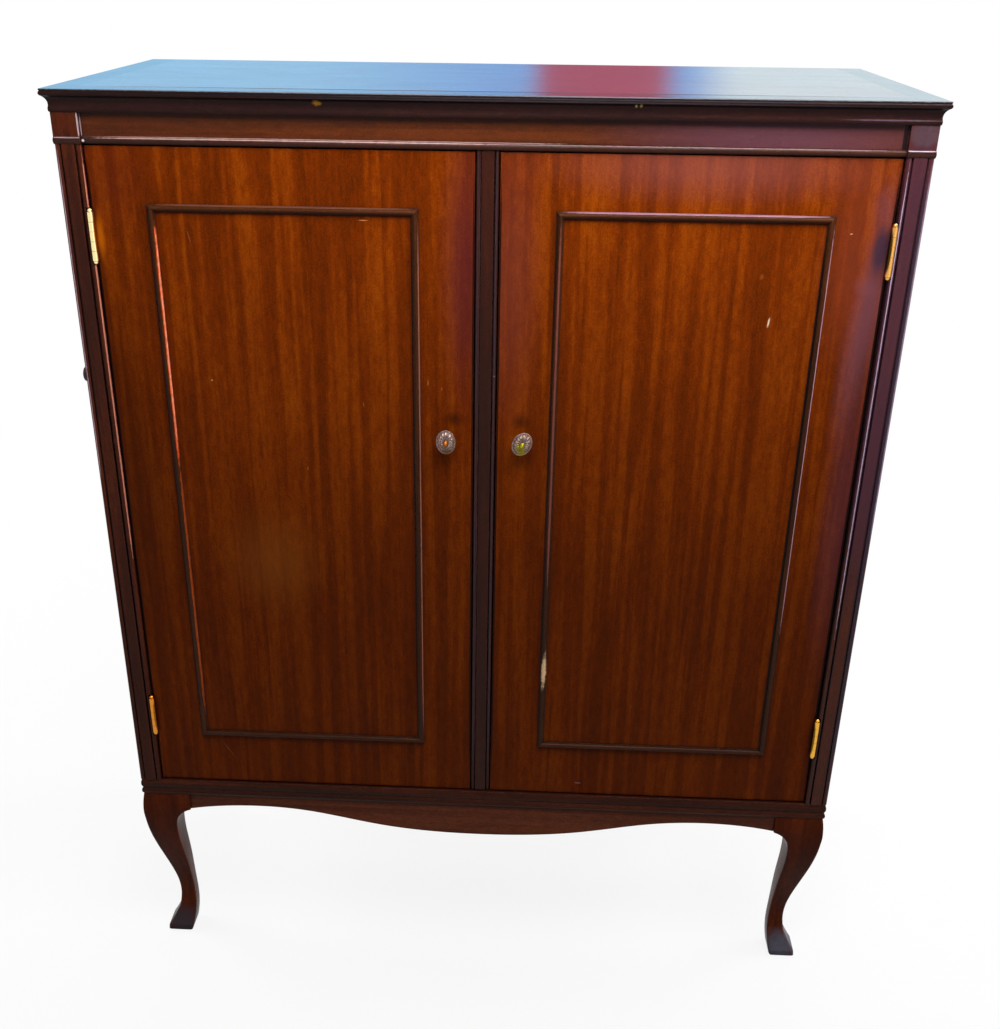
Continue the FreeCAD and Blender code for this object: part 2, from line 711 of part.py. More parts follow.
def door_stops():
    """Strips behind the frieze rail that the doors close against."""
    low = OPENING_TOP - STOP_DROP
    right = box(
        PARTITION_SIDE, POST_INNER, STOP_FACE, STOP_FACE + STOP_THICKNESS, low, low + STOP_HEIGHT
    )
    return [right, mirrored(right)]


# ---------------------------------------------------------------- hinges of the right door
def leaf_plate(side, height):
    """Flat of a leaf: side is 1 on the post and -1 on the door."""
    near = AXIS_X + side * DOOR_GAP / 2
    far = near + side * LEAF_THICKNESS
    half = HINGE_HEIGHT / 2
    return box(
        min(near, far), max(near, far), AXIS_Y, AXIS_Y + LEAF_REACH, height - half, height + half
    )


def knuckle_recess(height):
    """Room for the knuckles and the pin's tips in the post's bead."""
    half = HINGE_HEIGHT / 2 + TIP_HEIGHT + RUNNING_GAP
    radius = KNUCKLE_RADIUS + RUNNING_GAP
    return rod(radius, V(AXIS_X, AXIS_Y, height - half), V(AXIS_X, AXIS_Y, height + half))


def knuckle_spans(height, first):
    """(low, high) of every second knuckle, from first."""
    pitch = HINGE_HEIGHT / KNUCKLE_COUNT
    low = height - HINGE_HEIGHT / 2
    return [(low + k * pitch, low + (k + 1) * pitch) for k in range(first, KNUCKLE_COUNT, 2)]


def hinge_leaf(side, height):
    """A leaf with its knuckles, bored for the pin and countersunk for three screws."""
    own, other = (0, 1) if side > 0 else (1, 0)
    pieces = [leaf_plate(side, height)]
    for low, high in knuckle_spans(height, own):
        start = V(AXIS_X, AXIS_Y, low + KNUCKLE_GAP / 2)
        pieces.append(rod(KNUCKLE_RADIUS, start, V(AXIS_X, AXIS_Y, high - KNUCKLE_GAP / 2)))
    tools = []
    for low, high in knuckle_spans(height, other):
        start = V(AXIS_X, AXIS_Y, low - KNUCKLE_GAP / 2)
        end = V(AXIS_X, AXIS_Y, high + KNUCKLE_GAP / 2)
        tools.append(rod(KNUCKLE_RADIUS + RUNNING_GAP, start, end))
    bore = PIN_RADIUS + PIN_CLEARANCE
    half = HINGE_HEIGHT / 2
    tools.append(rod(bore, V(AXIS_X, AXIS_Y, height - half), V(AXIS_X, AXIS_Y, height + half)))
    tools += [screw_body(side, z, SCREW_FIT) for z in screw_heights(height)]
    return joined(pieces).cut(tools)


def screw_heights(height):
    """Heights of a leaf's three screws."""
    return [height - SCREW_SPACING, height, height + SCREW_SPACING]


def screw_body(side, z, extra):
    """Countersunk screw without its slot; extra widens it to cut a hole."""
    face = AXIS_X + side * DOOR_GAP / 2
    head = cone(
        SCREW_HEAD_RADIUS + extra, SCREW_SHANK_RADIUS + extra,
        V(face, SCREW_Y, z), V(face + side * LEAF_THICKNESS, SCREW_Y, z),
    )
    return joined([head, shank_of(side, z, extra)])


def shank_of(side, z, extra):
    """Shank of one hinge screw."""
    face = AXIS_X + side * DOOR_GAP / 2
    start = face + side * LEAF_THICKNESS / 2
    return rod(
        SCREW_SHANK_RADIUS + extra, V(start, SCREW_Y, z), V(face + side * SCREW_LENGTH, SCREW_Y, z)
    )


def shanks(side, height):
    """Shanks of a leaf's screws, to drill the wood."""
    return [shank_of(side, z, 0.0) for z in screw_heights(height)]


def hinge_screws(side):
    """Slotted countersunk screws of both hinges, on the post or on the door."""
    face = AXIS_X + side * DOOR_GAP / 2
    deep = face + side * SCREW_SLOT_DEPTH
    screws = []
    for height in HINGE_HEIGHTS.values():
        for z in screw_heights(height):
            slot = box(
                min(face, deep), max(face, deep),
                SCREW_Y - SCREW_SLOT_WIDTH / 2, SCREW_Y + SCREW_SLOT_WIDTH / 2,
                z - 2 * SCREW_HEAD_RADIUS, z + 2 * SCREW_HEAD_RADIUS,
            )
            screws.append(screw_body(side, z, 0.0).cut(slot))
    return screws


def hinge_pin(height):
    """Pin with a round button at each end, flat where it meets the barrel."""
    half = HINGE_HEIGHT / 2
    reach = half + TIP_HEIGHT - TIP_RADIUS
    pieces = [rod(PIN_RADIUS, V(AXIS_X, AXIS_Y, height - reach), V(AXIS_X, AXIS_Y, height + reach))]
    for end in (-1, 1):
        ball = Part.makeSphere(TIP_RADIUS, V(AXIS_X, AXIS_Y, height + end * reach))
        near, far = height + end * half, height + end * (half + 2 * TIP_HEIGHT)
        room = box(
            AXIS_X - TIP_HEIGHT, AXIS_X + TIP_HEIGHT, AXIS_Y - TIP_HEIGHT, AXIS_Y + TIP_HEIGHT,
            min(near, far), max(near, far),
        )
        pieces.append(ball.common(room))
    return joined(pieces)


# ---------------------------------------------------------------- doors, knobs and latches
def door():
    """Right door, let in for its leaves and bored for the spindle."""
    board = box(DOOR_INNER_EDGE, DOOR_OUTER_EDGE, DOOR_FACE, DOOR_BACK, DOOR_FOOT, DOOR_HEAD)
    bore = SPINDLE_RADIUS + SPINDLE_CLEARANCE
    tools = [rod(bore, V(KNOB_X, DOOR_FACE, KNOB_Z), V(KNOB_X, DOOR_BACK, KNOB_Z))]
    for height in HINGE_HEIGHTS.values():
        tools += [leaf_plate(-1, height)] + shanks(-1, height)
    return board.cut(tools)


def strip_section(place):
    """Raised moulding: a round crown between two small shoulders."""
    crown = STRIP_WIDTH - STRIP_SHOULDER
    return outline(
        place,
        (0, 0),
        ((0, STRIP_SHOULDER),),
        ((STRIP_SHOULDER, STRIP_SHOULDER),),
        ((STRIP_WIDTH / 2, STRIP_PROUD), (crown, STRIP_SHOULDER)),
        ((STRIP_WIDTH, STRIP_SHOULDER),),
        ((STRIP_WIDTH, 0),),
    )


def door_mouldings():
    """Mitred strips of the right door: (uprights, rails), each (first, second)."""
    x0, x1 = DOOR_INNER_EDGE + PANEL_MARGIN_SIDE, DOOR_OUTER_EDGE - PANEL_MARGIN_SIDE
    z0, z1 = DOOR_FOOT + PANEL_MARGIN_BOTTOM, DOOR_HEAD - PANEL_MARGIN_TOP
    w = STRIP_WIDTH

    def upright(x, inwards):
        place = lambda a, b: V(x + inwards * a, DOOR_FACE - b, z0)
        plan = outline(
            in_xz(DOOR_FACE - STRIP_PROUD), (x, z0), ((x, z1),),
            ((x + inwards * w, z1 - w),), ((x + inwards * w, z0 + w),),
        )
        strip = strip_section(place).extrude(V(0, 0, z1 - z0))
        return strip.common(plan.extrude(V(0, STRIP_PROUD, 0)))

    def rail(z, upwards):
        place = lambda a, b: V(x0, DOOR_FACE - b, z + upwards * a)
        plan = outline(
            in_xz(DOOR_FACE - STRIP_PROUD), (x0, z), ((x1, z),),
            ((x1 - w, z + upwards * w),), ((x0 + w, z + upwards * w),),
        )
        strip = strip_section(place).extrude(V(x1 - x0, 0, 0))
        return strip.common(plan.extrude(V(0, STRIP_PROUD, 0)))

    return (upright(x0, 1), upright(x1, -1)), (rail(z0, 1), rail(z1, -1))


def knob_stem():
    """Right knob's collar and neck, with the spindle that is riveted at the tongue."""
    place = lambda a, b: V(KNOB_X + a, DOOR_FACE - b, KNOB_Z)
    tongue_back = -(DOOR_THICKNESS + TONGUE_GAP + TONGUE_THICKNESS)
    collar_front = KNOB_RUNNING_GAP + KNOB_COLLAR_THICKNESS
    flare = KNOB_RIM_BACK - KNOB_FLARE
    rivet_end = tongue_back - RIVET_HEIGHT
    profile = outline(
        place,
        (0, rivet_end),
        ((RIVET_RADIUS - RIVET_CHAMFER, rivet_end),),
        ((RIVET_RADIUS, rivet_end + RIVET_CHAMFER),),
        ((RIVET_RADIUS, tongue_back),),
        ((SPINDLE_RADIUS, tongue_back),),
        ((SPINDLE_RADIUS, KNOB_RUNNING_GAP),),
        ((KNOB_COLLAR_RADIUS, KNOB_RUNNING_GAP),),
        ((KNOB_COLLAR_RADIUS, KNOB_RUNNING_GAP + KNOB_COLLAR_EDGE),),
        ((KNOB_NECK_RADIUS, collar_front),),
        ((KNOB_WAIST_RADIUS, (collar_front + flare) / 2), (KNOB_NECK_RADIUS, flare)),
        ((KNOB_NECK_RADIUS, flare + KNOB_NECK_LET_IN),),
        ((0, flare + KNOB_NECK_LET_IN),),
    )
    return profile.revolve(V(KNOB_X, DOOR_FACE, KNOB_Z), V(0, 1, 0), 360)


def knob_head():
    """Oval head: turned, stretched upright, and fluted from the boss to the rim."""
    place = lambda a, b: V(a, -b, 0)
    rim_front = KNOB_RIM_BACK + KNOB_RIM_THICKNESS
    boss_foot = KNOB_PROJECTION - KNOB_BOSS_HEIGHT
    profile = outline(
        place,
        (0, KNOB_RIM_BACK - KNOB_FLARE),
        ((KNOB_NECK_RADIUS + KNOB_NECK_LEDGE, KNOB_RIM_BACK - KNOB_FLARE),),
        ((KNOB_HALF_WIDTH - KNOB_RIM_BEVEL, KNOB_RIM_BACK),),
        ((KNOB_HALF_WIDTH, (KNOB_RIM_BACK + rim_front) / 2), (KNOB_HALF_WIDTH - KNOB_RIM_BEVEL, rim_front)),
        ((KNOB_CROWN_RADIUS, boss_foot - KNOB_CROWN_DROP), (KNOB_BOSS_RADIUS, boss_foot)),
        ((KNOB_BOSS_RADIUS, boss_foot + KNOB_BOSS_EDGE),),
        dome(KNOB_BOSS_RADIUS, boss_foot + KNOB_BOSS_EDGE, KNOB_PROJECTION),
    )
    longer = KNOB_HALF_HEIGHT / KNOB_HALF_WIDTH
    stretch = FreeCAD.Matrix()
    stretch.scale(1, 1, longer)
    body = profile.revolve(V(0, 0, 0), V(0, 1, 0), 360).transformGeometry(stretch)
    crown_y = -boss_foot - FLUTE_RADIUS + FLUTE_DEPTH
    rim_y = -rim_front - FLUTE_RADIUS + FLUTE_DEPTH
    flutes = []
    for i in range(KNOB_FLUTES):
        angle = 2 * pi * (i + 0.5) / KNOB_FLUTES
        outwards = V(cos(angle), 0, sin(angle) * longer)
        start = V(0, crown_y, 0) + outwards * (KNOB_BOSS_RADIUS + 2 * FLUTE_RADIUS)
        end = V(0, rim_y, 0) + outwards * (KNOB_HALF_WIDTH + FLUTE_RADIUS)
        flutes.append(rod(FLUTE_RADIUS, start, end))
    return body.cut(flutes)


def knob(lean):
    """Right knob with its spindle; lean turns its oval head from upright, in degrees."""
    head = knob_head()
    head.rotate(V(0, 0, 0), V(0, 1, 0), lean)
    head.translate(V(KNOB_X, DOOR_FACE, KNOB_Z))
    return knob_stem().fuse(head).Solids[0]


def latch_tongue():
    """Tongue on the right knob's spindle, hanging down; a quarter turn takes it behind the mullion."""
    near = DOOR_BACK + TONGUE_GAP
    half = TONGUE_WIDTH / 2
    reach = KNOB_X - PARTITION_SIDE - TONGUE_TO_PARTITION
    tip = KNOB_Z - reach
    plate = outline(
        in_xz(near),
        (KNOB_X - half, KNOB_Z),
        ((KNOB_X, KNOB_Z + half), (KNOB_X + half, KNOB_Z)),
        ((KNOB_X + half, tip + half / 2),),
        ((KNOB_X, tip), (KNOB_X - half, tip + half / 2)),
    )
    hole = rod(SPINDLE_RADIUS, V(KNOB_X, near, KNOB_Z), V(KNOB_X, near + TONGUE_THICKNESS, KNOB_Z))
    return plate.extrude(V(0, TONGUE_THICKNESS, 0)).cut(hole)


def side_button():
    """Small turned button on the left post, with its peg in the post."""
    centre = V(-SIDE, FRONT + BUTTON_BEHIND_FRONT, BUTTON_HEIGHT)
    place = lambda a, b: centre + V(-b, 0, a)
    profile = outline(
        place,
        (0, -BUTTON_PEG_LENGTH),
        ((BUTTON_PEG_RADIUS, -BUTTON_PEG_LENGTH),),
        ((BUTTON_PEG_RADIUS, 0),),
        ((BUTTON_RADIUS - BUTTON_FOOT_EDGE, 0),),
        ((BUTTON_RADIUS, BUTTON_SHOULDER / 2), (BUTTON_CROWN_RADIUS, BUTTON_SHOULDER)),
        dome(BUTTON_CROWN_RADIUS, BUTTON_SHOULDER, BUTTON_PROJECTION),
    )
    return profile.revolve(centre, V(1, 0, 0), 360)


# ---------------------------------------------------------------- write every node
def build():
    """Makes and writes all the pieces."""
    os.makedirs("parts", exist_ok=True)

    post = front_post()
    button = side_button()
    save("front_post_right", post)
    save("front_post_left", mirrored(post).cut(button))
    save_pair("rear_post", rear_post())
    save("centre_mullion", mullion())
    save_pair("side_panel", side_panel())
    save_pair("side_top_rail", side_top_rail())
    save("back_top_rail", back_top_rail())
    save("back_panel", back_panel_board().cut(back_screw_shanks()))
    save("back_panel_screws", *back_screws())
    save("side_button", button)

    cornice_front, cornice_side = cornice()
    save("top_panel", top_panel())
    save("cornice_front", cornice_front)
    save_pair("cornice", cornice_side)
    save("frieze_rail", frieze_rail())
    save("frieze_bead", frieze_bead())
    collar = post_collar()
    save("post_beads", collar, mirrored(collar))

    rail_front, rail_side, rail_back = base_rails()
    save("base_rail_front", rail_front)
    save_pair("base_rail", rail_side)
    save("base_rail_back", rail_back)
    apron_front, apron_side, apron_back = aprons()
    save("apron_front", apron_front)
    save_pair("apron", apron_side)
    save("apron_back", apron_back)
    leg = front_leg()
    save_pair("leg_front", leg)
    save_pair("leg_rear", rear_of(leg))
    save("glue_blocks", *glue_blocks())

    save("bottom_board", bottom_board())
    save("centre_partition", partition())
    for level, height in SHELVES.items():
        save_pair("shelf_" + level, shelf(height))
    save("shelf_cleats", *cleats())
    save("record_dividers_right", *dividers(1))
    save("record_dividers_left", *dividers(-1))
    save("door_stops", *door_stops())

    leaves = [hinge_leaf(1, height) for height in HINGE_HEIGHTS.values()]
    pins = [hinge_pin(height) for height in HINGE_HEIGHTS.values()]
    screws = hinge_screws(1)
    save("hinge_post_leaves", *leaves, *[mirrored(s) for s in leaves])
    save("hinge_pins", *pins, *[mirrored(s) for s in pins])
    save("hinge_post_screws", *screws, *[mirrored(s) for s in screws])

    panel = door()
    uprights, rails = door_mouldings()
    door_leaves = [hinge_leaf(-1, height) for height in HINGE_HEIGHTS.values()]
    door_screws = hinge_screws(-1)
    tongue = latch_tongue()
    for side, turn in (("right", lambda s: s), ("left", mirrored)):
        save("door_" + side, turn(panel))
        save("door_moulding_uprights_" + side, *[turn(s) for s in uprights])
        save("door_moulding_rails_" + side, *[turn(s) for s in rails])
        save("hinge_door_leaves_" + side, *[turn(s) for s in door_leaves])
        save("hinge_door_screws_" + side, *[turn(s) for s in door_screws])
        save("knob_" + side, turn(knob(KNOB_LEAN[side])))
        save("latch_tongue_" + side, turn(tongue))


build()
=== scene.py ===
"""Looks of a record cabinet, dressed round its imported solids.

Metres, +X to the right, +Y to the back, +Z up, with the floor at z = 0. Each sub-assembly is a
class that holds its sizes and builds and dresses its own pieces. Finishes are frozen dataclasses,
which write the node tree of a material for the way a board's grain runs.
"""

from __future__ import annotations

import json
import logging
import math
from collections.abc import Iterable
from dataclasses import dataclass, field, replace
from enum import Enum
from functools import partial, reduce

import bmesh
import bpy
import numpy as np
from mathutils import Matrix, Vector

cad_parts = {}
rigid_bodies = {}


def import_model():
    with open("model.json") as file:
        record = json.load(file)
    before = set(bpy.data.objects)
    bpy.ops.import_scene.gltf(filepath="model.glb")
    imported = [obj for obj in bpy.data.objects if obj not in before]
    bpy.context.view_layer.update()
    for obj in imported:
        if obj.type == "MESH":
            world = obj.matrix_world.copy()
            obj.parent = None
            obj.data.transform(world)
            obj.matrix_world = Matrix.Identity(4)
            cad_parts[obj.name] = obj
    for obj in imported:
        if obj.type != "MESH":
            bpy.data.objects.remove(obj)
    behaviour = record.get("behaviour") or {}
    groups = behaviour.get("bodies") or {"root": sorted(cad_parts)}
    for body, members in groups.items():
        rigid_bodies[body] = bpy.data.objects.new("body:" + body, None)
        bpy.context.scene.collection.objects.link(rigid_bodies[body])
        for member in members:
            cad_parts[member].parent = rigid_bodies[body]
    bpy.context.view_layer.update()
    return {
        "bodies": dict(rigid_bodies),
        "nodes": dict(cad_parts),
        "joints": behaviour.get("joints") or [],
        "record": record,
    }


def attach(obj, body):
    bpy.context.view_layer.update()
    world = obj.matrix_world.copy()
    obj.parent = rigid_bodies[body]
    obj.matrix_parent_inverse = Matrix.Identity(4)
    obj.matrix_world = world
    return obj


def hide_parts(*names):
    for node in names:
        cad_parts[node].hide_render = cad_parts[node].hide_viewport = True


LOG = logging.getLogger("record_cabinet")
DOOR_FACE = -0.212  # Y of the doors' faces, m
MM = 0.001

Colour = tuple[float, float, float]
Place = tuple[float, float, float]
Profile = list[tuple[float, float]]
Socket = bpy.types.NodeSocket
Feed = object  # a socket, a number, a tuple or a data-block that a socket takes


def linear(value: int) -> float:
    """One display value, 0 to 255, as linear light."""
    share = value / 255
    return share / 12.92 if share <= 0.04045 else ((share + 0.055) / 1.055) ** 2.4


def tone(red: int, green: int, blue: int) -> Colour:
    """Linear colour of a shade given as three display values, 0 to 255."""
    return linear(red), linear(green), linear(blue)


class Body(Enum):
    """The bodies that move against each other."""

    CABINET = "cabinet"
    LEFT_DOOR = "left_door"
    RIGHT_DOOR = "right_door"
    LEFT_KNOB = "left_knob"
    RIGHT_KNOB = "right_knob"


class Side(Enum):
    """Which half of the cabinet a piece is on: its name, and the sign of its X."""

    LEFT = ("left", -1)
    RIGHT = ("right", 1)

    @property
    def word(self) -> str:
        """The name used in node names."""
        return self.value[0]

    @property
    def sign(self) -> int:
        """The sign of X on this side."""
        return self.value[1]

    @property
    def door(self) -> Body:
        """The door's body on this side."""
        return Body(f"{self.word}_door")

    @property
    def knob(self) -> Body:
        """The knob's body on this side."""
        return Body(f"{self.word}_knob")


class Grain(Enum):
    """Which way a board's grain runs, as the number of its axis."""

    ACROSS = 0
    DEPTH = 1
    UPRIGHT = 2


class Face(Enum):
    """The face that a mark lies on, as the number of the axis square to it."""

    SIDE = 0
    FRONT = 1
    TOP = 2


# ------------------------------------------------------------------ node trees
class Graph:
    """Adds and joins the nodes of one node tree."""

    def __init__(self, tree: bpy.types.NodeTree) -> None:
        """Takes the tree that it writes to."""
        self.tree = tree

    def node(self, kind: str, inputs: dict[str | int, Feed] | None = None,
             **settings: object) -> bpy.types.Node:
        """Adds a node.

        Args:
            kind: Blender's name of the node type.
            inputs: what goes into its sockets, by their names or numbers.
            settings: properties to set on it.

        Returns:
            The new node.
        """
        made = self.tree.nodes.new(kind)
        for key, value in settings.items():
            setattr(made, key, value)
        for key, value in (inputs or {}).items():
            self.feed(made.inputs[key], value)
        return made

    def feed(self, socket: Socket, value: Feed) -> None:
        """Joins a socket to another one, or sets its value.

        Args:
            socket: the input.
            value: an output socket, a number, a tuple or a data-block.
        """
        if isinstance(value, bpy.types.NodeSocket):
            self.tree.links.new(value, socket)
        elif socket.type == "RGBA":
            socket.default_value = (*value[:3], 1.0)
        else:
            socket.default_value = value

    def math(self, operation: str, first: Feed, second: Feed = 0.0, third: Feed = 0.0) -> Socket:
        """One step of arithmetic, by Blender's name of it."""
        inputs = {0: first, 1: second, 2: third}
        return self.node("ShaderNodeMath", inputs, operation=operation).outputs[0]

    def times(self, *values: Feed) -> Socket:
        """Product of two or more values."""
        return reduce(partial(self.math, "MULTIPLY"), values)

    def scaled(self, value: Feed, factor: Feed, base: Feed) -> Socket:
        """The value times the factor, plus the base."""
        return self.math("MULTIPLY_ADD", value, factor, base)

    def measure(self, operation: str, first: Feed, second: Feed = (0.0, 0.0, 0.0)) -> Socket:
        """A number out of vectors: a length or a dot product."""
        inputs = {0: first, 1: second}
        return self.node("ShaderNodeVectorMath", inputs, operation=operation).outputs["Value"]

    def joined(self, x: Feed = 0.0, y: Feed = 0.0, z: Feed = 0.0) -> Socket:
        """A vector out of three numbers."""
        return self.node("ShaderNodeCombineXYZ", {0: x, 1: y, 2: z}).outputs[0]

    def parts(self, vector: Feed) -> bpy.types.NodeOutputs:
        """The X, Y and Z sockets of a vector."""
        return self.node("ShaderNodeSeparateXYZ", {0: vector}).outputs

    def ease(self, value: Feed, low: float, high: float, first: float = 0.0,
             last: float = 1.0) -> Socket:
        """Smooth step from first to last as the value goes from low to high."""
        inputs = dict(enumerate((value, low, high, first, last)))
        return self.node("ShaderNodeMapRange", inputs, interpolation_type="SMOOTHSTEP").outputs[0]

    def blend(self, share: Feed, first: Feed, second: Feed) -> Socket:
        """Mix of two colours, with this share of the second."""
        inputs = {0: share, 6: first, 7: second}
        return self.node("ShaderNodeMix", inputs, data_type="RGBA").outputs[2]


class Recipe(Graph):
    """Node tree of one material, with the steps that every finish uses."""

    BEVEL_SAMPLES = 6
    ARRIS_SPAN = (0.985, 0.80)  # likeness of the two normals where an arris starts and is full
    CORNER_SAMPLES = 8
    CORNER_SPAN = (0.95, 0.35)  # openness where a corner starts and is full

    def __init__(self, name: str) -> None:
        """Starts a material with one Principled shader.

        Args:
            name: the material's name.
        """
        self.material = bpy.data.materials.new(name)
        self.material.use_nodes = True
        super().__init__(self.material.node_tree)
        self.tree.nodes.clear()
        self.shader = self.node("ShaderNodeBsdfPrincipled")
        self.output = self.node("ShaderNodeOutputMaterial", {"Surface": self.shader.outputs[0]})
        self.place = self.node("ShaderNodeTexCoord").outputs["Object"]

    def set(self, **values: Feed) -> None:
        """Feeds the shader's sockets; an underscore in a name stands for a space."""
        for key, value in values.items():
            self.feed(self.shader.inputs[key.replace("_", " ")], value)

    def stretched(self, scale: Place) -> Socket:
        """Object coordinates, scaled on each axis."""
        inputs = {"Vector": self.place, "Scale": scale}
        return self.node("ShaderNodeMapping", inputs).outputs[0]

    def noise(self, where: Feed, *values: float) -> Socket:
        """Noise from 0 to 1.

        Args:
            where: coordinates.
            values: scale, octaves, weight of the finer octaves and, if any, distortion.

        Returns:
            The value's socket.
        """
        names = ("Scale", "Detail", "Roughness", "Distortion")
        inputs = {"Vector": where, **dict(zip(names, values))}
        return self.node("ShaderNodeTexNoise", inputs).outputs["Fac"]

    def ramp(self, value: Feed, stops: Iterable[tuple[float, Colour]]) -> Socket:
        """Colour ramp of three colours.

        Args:
            value: place on the ramp.
            stops: the three (place, colour) pairs in order.

        Returns:
            The colour's socket.
        """
        made = self.node("ShaderNodeValToRGB", {0: value})
        points = made.color_ramp.elements
        points.new(0.5)
        for point, (position, colour) in zip(points, stops):
            point.position = position
            point.color = (*colour, 1.0)
        return made.outputs["Color"]

    def rounded(self, radius: float) -> tuple[Socket, Socket]:
        """Normal with the arrises rounded, and a mask of those arrises.

        Args:
            radius: radius of the rounding, m.

        Returns:
            The normal's socket and the mask's.
        """
        bevel = self.node("ShaderNodeBevel", {"Radius": radius},
                          samples=self.BEVEL_SAMPLES).outputs[0]
        plain = self.node("ShaderNodeNewGeometry").outputs["Normal"]
        return bevel, self.ease(self.measure("DOT_PRODUCT", bevel, plain), *self.ARRIS_SPAN)

    def corners(self, reach: float) -> Socket:
        """Mask of the inside corners up to this reach, from ambient occlusion: in wood, painted
        shade with dust; in metal, patina in the hollows.
        """
        made = self.node("ShaderNodeAmbientOcclusion", {"Distance": reach},
                         samples=self.CORNER_SAMPLES)
        return self.ease(made.outputs["AO"], *self.CORNER_SPAN)

    def relief(self, height: Feed, distance: float, strength: float, normal: Socket) -> Socket:
        """Bumped normal: a relief of this depth in metres, of which the strength shows."""
        inputs = {"Height": height, "Distance": distance, "Strength": strength, "Normal": normal}
        return self.node("ShaderNodeBump", inputs).outputs["Normal"]


# ------------------------------------------------------------------ finishes
@dataclass(frozen=True)
class Mark:
    """A scratch, chip or rub of a finish, or a painted highlight, reflection or shade: a soft
    ellipse on one face.

    Attributes:
        centre: its middle, m.
        reach: half its size on X, Y and Z, m; the size square to its face keeps it on that face.
        colour: what shows there.
        turn: degrees about the axis square to its face.
        strength: how much of the colour shows.
        ragged: share by which noise breaks its edge.
        core: share of the reach that has full strength.
        face: the face that it lies on.
        matt: share of the gloss that it takes away.
        long: True for a line along Z whose ends stay as wide as its middle.
    """

    centre: Place
    reach: Place
    colour: Colour
    turn: float = 0.0
    strength: float = 1.0
    ragged: float = 0.35
    core: float = 0.4
    face: Face = Face.FRONT
    matt: float = 0.0
    long: bool = False

    def distance(self, recipe: Recipe) -> Socket:
        """How far a point is from the middle, 1 at the rim.

        Args:
            recipe: the material's tree.

        Returns:
            The distance's socket.
        """
        turn = [0.0, 0.0, 0.0]
        turn[self.face.value] = math.radians(self.turn)
        local = recipe.node("ShaderNodeMapping", {
            "Vector": recipe.place, "Location": self.centre, "Rotation": tuple(turn),
            "Scale": self.reach,
        }, vector_type="TEXTURE").outputs[0]
        if not self.long:
            return recipe.measure("LENGTH", local)
        across, through, along = (
            recipe.math("POWER", recipe.math("ABSOLUTE", part), power)
            for part, power in zip(recipe.parts(local), (2.0, 2.0, 8.0))
        )
        return recipe.math("SQRT", recipe.math("ADD", recipe.math("ADD", across, through), along))

    def mask(self, recipe: Recipe, grit: Socket) -> Socket:
        """Writes the mark's mask.

        Args:
            recipe: the material's tree.
            grit: noise that breaks the edge.

        Returns:
            The mask's socket, from 0 to the mark's strength.
        """
        away = recipe.math("SUBTRACT", self.distance(recipe), self.ragged)
        away = recipe.scaled(grit, 2 * self.ragged, away)
        return recipe.ease(away, self.core, 1.0, self.strength, 0.0)


def scratch(x: float, z: float, half_width: float, half_length: float, turn: float = 0.0,
            colour: Colour = tone(214, 150, 96), strength: float = 0.9) -> Mark:
    """A short pale scratch on a door's face, with its middle and half its size in metres."""
    reach = (half_width, 0.006, half_length)
    return Mark((x, DOOR_FACE, z), reach, colour, turn, strength, 0.45, 0.3)


def spot(x: float, z: float, half_width: float, half_height: float, colour: Colour,
         strength: float, ragged: float, core: float, turn: float = 0.0) -> Mark:
    """A soft patch of painted shadow, shade or reflection on a door's face, with its middle and
    half its size.
    """
    reach = (half_width, 0.012, half_height)
    return Mark((x, DOOR_FACE, z), reach, colour, turn, strength, ragged, core)


def upright(x: float, low: float, high: float, half: float, colour: Colour, strength: float,
            y: float, ragged: float) -> Mark:
    """A thin line along an upright arris or gap of the front: a painted highlight, or painted
    shade.

    Args:
        x, y: where it is, m.
        low, high: its two ends, m.
        half: half its width, m.
        colour: what shows in it.
        strength: how clear it is.
        ragged: how broken its edge is.

    Returns:
        The mark.
    """
    reach = (half, 0.005, (high - low) / 2)
    return Mark((x, y, (low + high) / 2), reach, colour, 0.0, strength, ragged, 0.55, long=True)


def level(z: float, left: float, right: float, *values: float | Colour) -> Mark:
    """The same for a level arris.

    Args:
        z: its height, m.
        left, right: its two ends, m.
        values: half width, colour, strength, Y and ragged share, as upright() takes them.

    Returns:
        The mark.
    """
    mark = upright(z, left, right, *values)
    return replace(mark, centre=mark.centre[::-1], turn=90.0)


@dataclass(frozen=True)
class Layer:
    """Noise of one size in the figure of wood.

    Attributes:
        width, length: a feature's size across and along the grain, m.
        weight: how far it moves the colour.
        detail, rough, warp: octaves, weight of the finer ones, distortion.
    """

    width: float
    length: float
    weight: float = 0.0
    detail: float = 2.0
    rough: float = 0.6
    warp: float = 0.0

    def noise(self, recipe: Recipe, grain: Grain) -> Socket:
        """Writes the layer.

        Args:
            recipe: the material's tree.
            grain: the way the grain runs.

        Returns:
            The value's socket.
        """
        scale = [1 / self.width] * 3
        scale[grain.value] = 1 / self.length
        return recipe.noise(recipe.stretched(tuple(scale)), 1.0, self.detail, self.rough, self.warp)


MOTTLE = Layer(0.0055, 0.015, 1.5, warp=0.3)
SPECKLE = Layer(0.0013, 0.0026, 1.7, detail=1.0)
FIBRES = Layer(0.0007, 0.012, 0.6)
PORES = Layer(0.0005, 0.0045, detail=1.0, rough=0.5)
SMEARS = Layer(0.05, 0.12, detail=3.0)
GRIT = (160.0, 3.0, 0.65)  # scale, octaves and their weight of the noise that breaks up wear
# colour of the inside corners: painted shade, with dust
CORNER_DUST_AND_SHADE = tone(22, 10, 12)


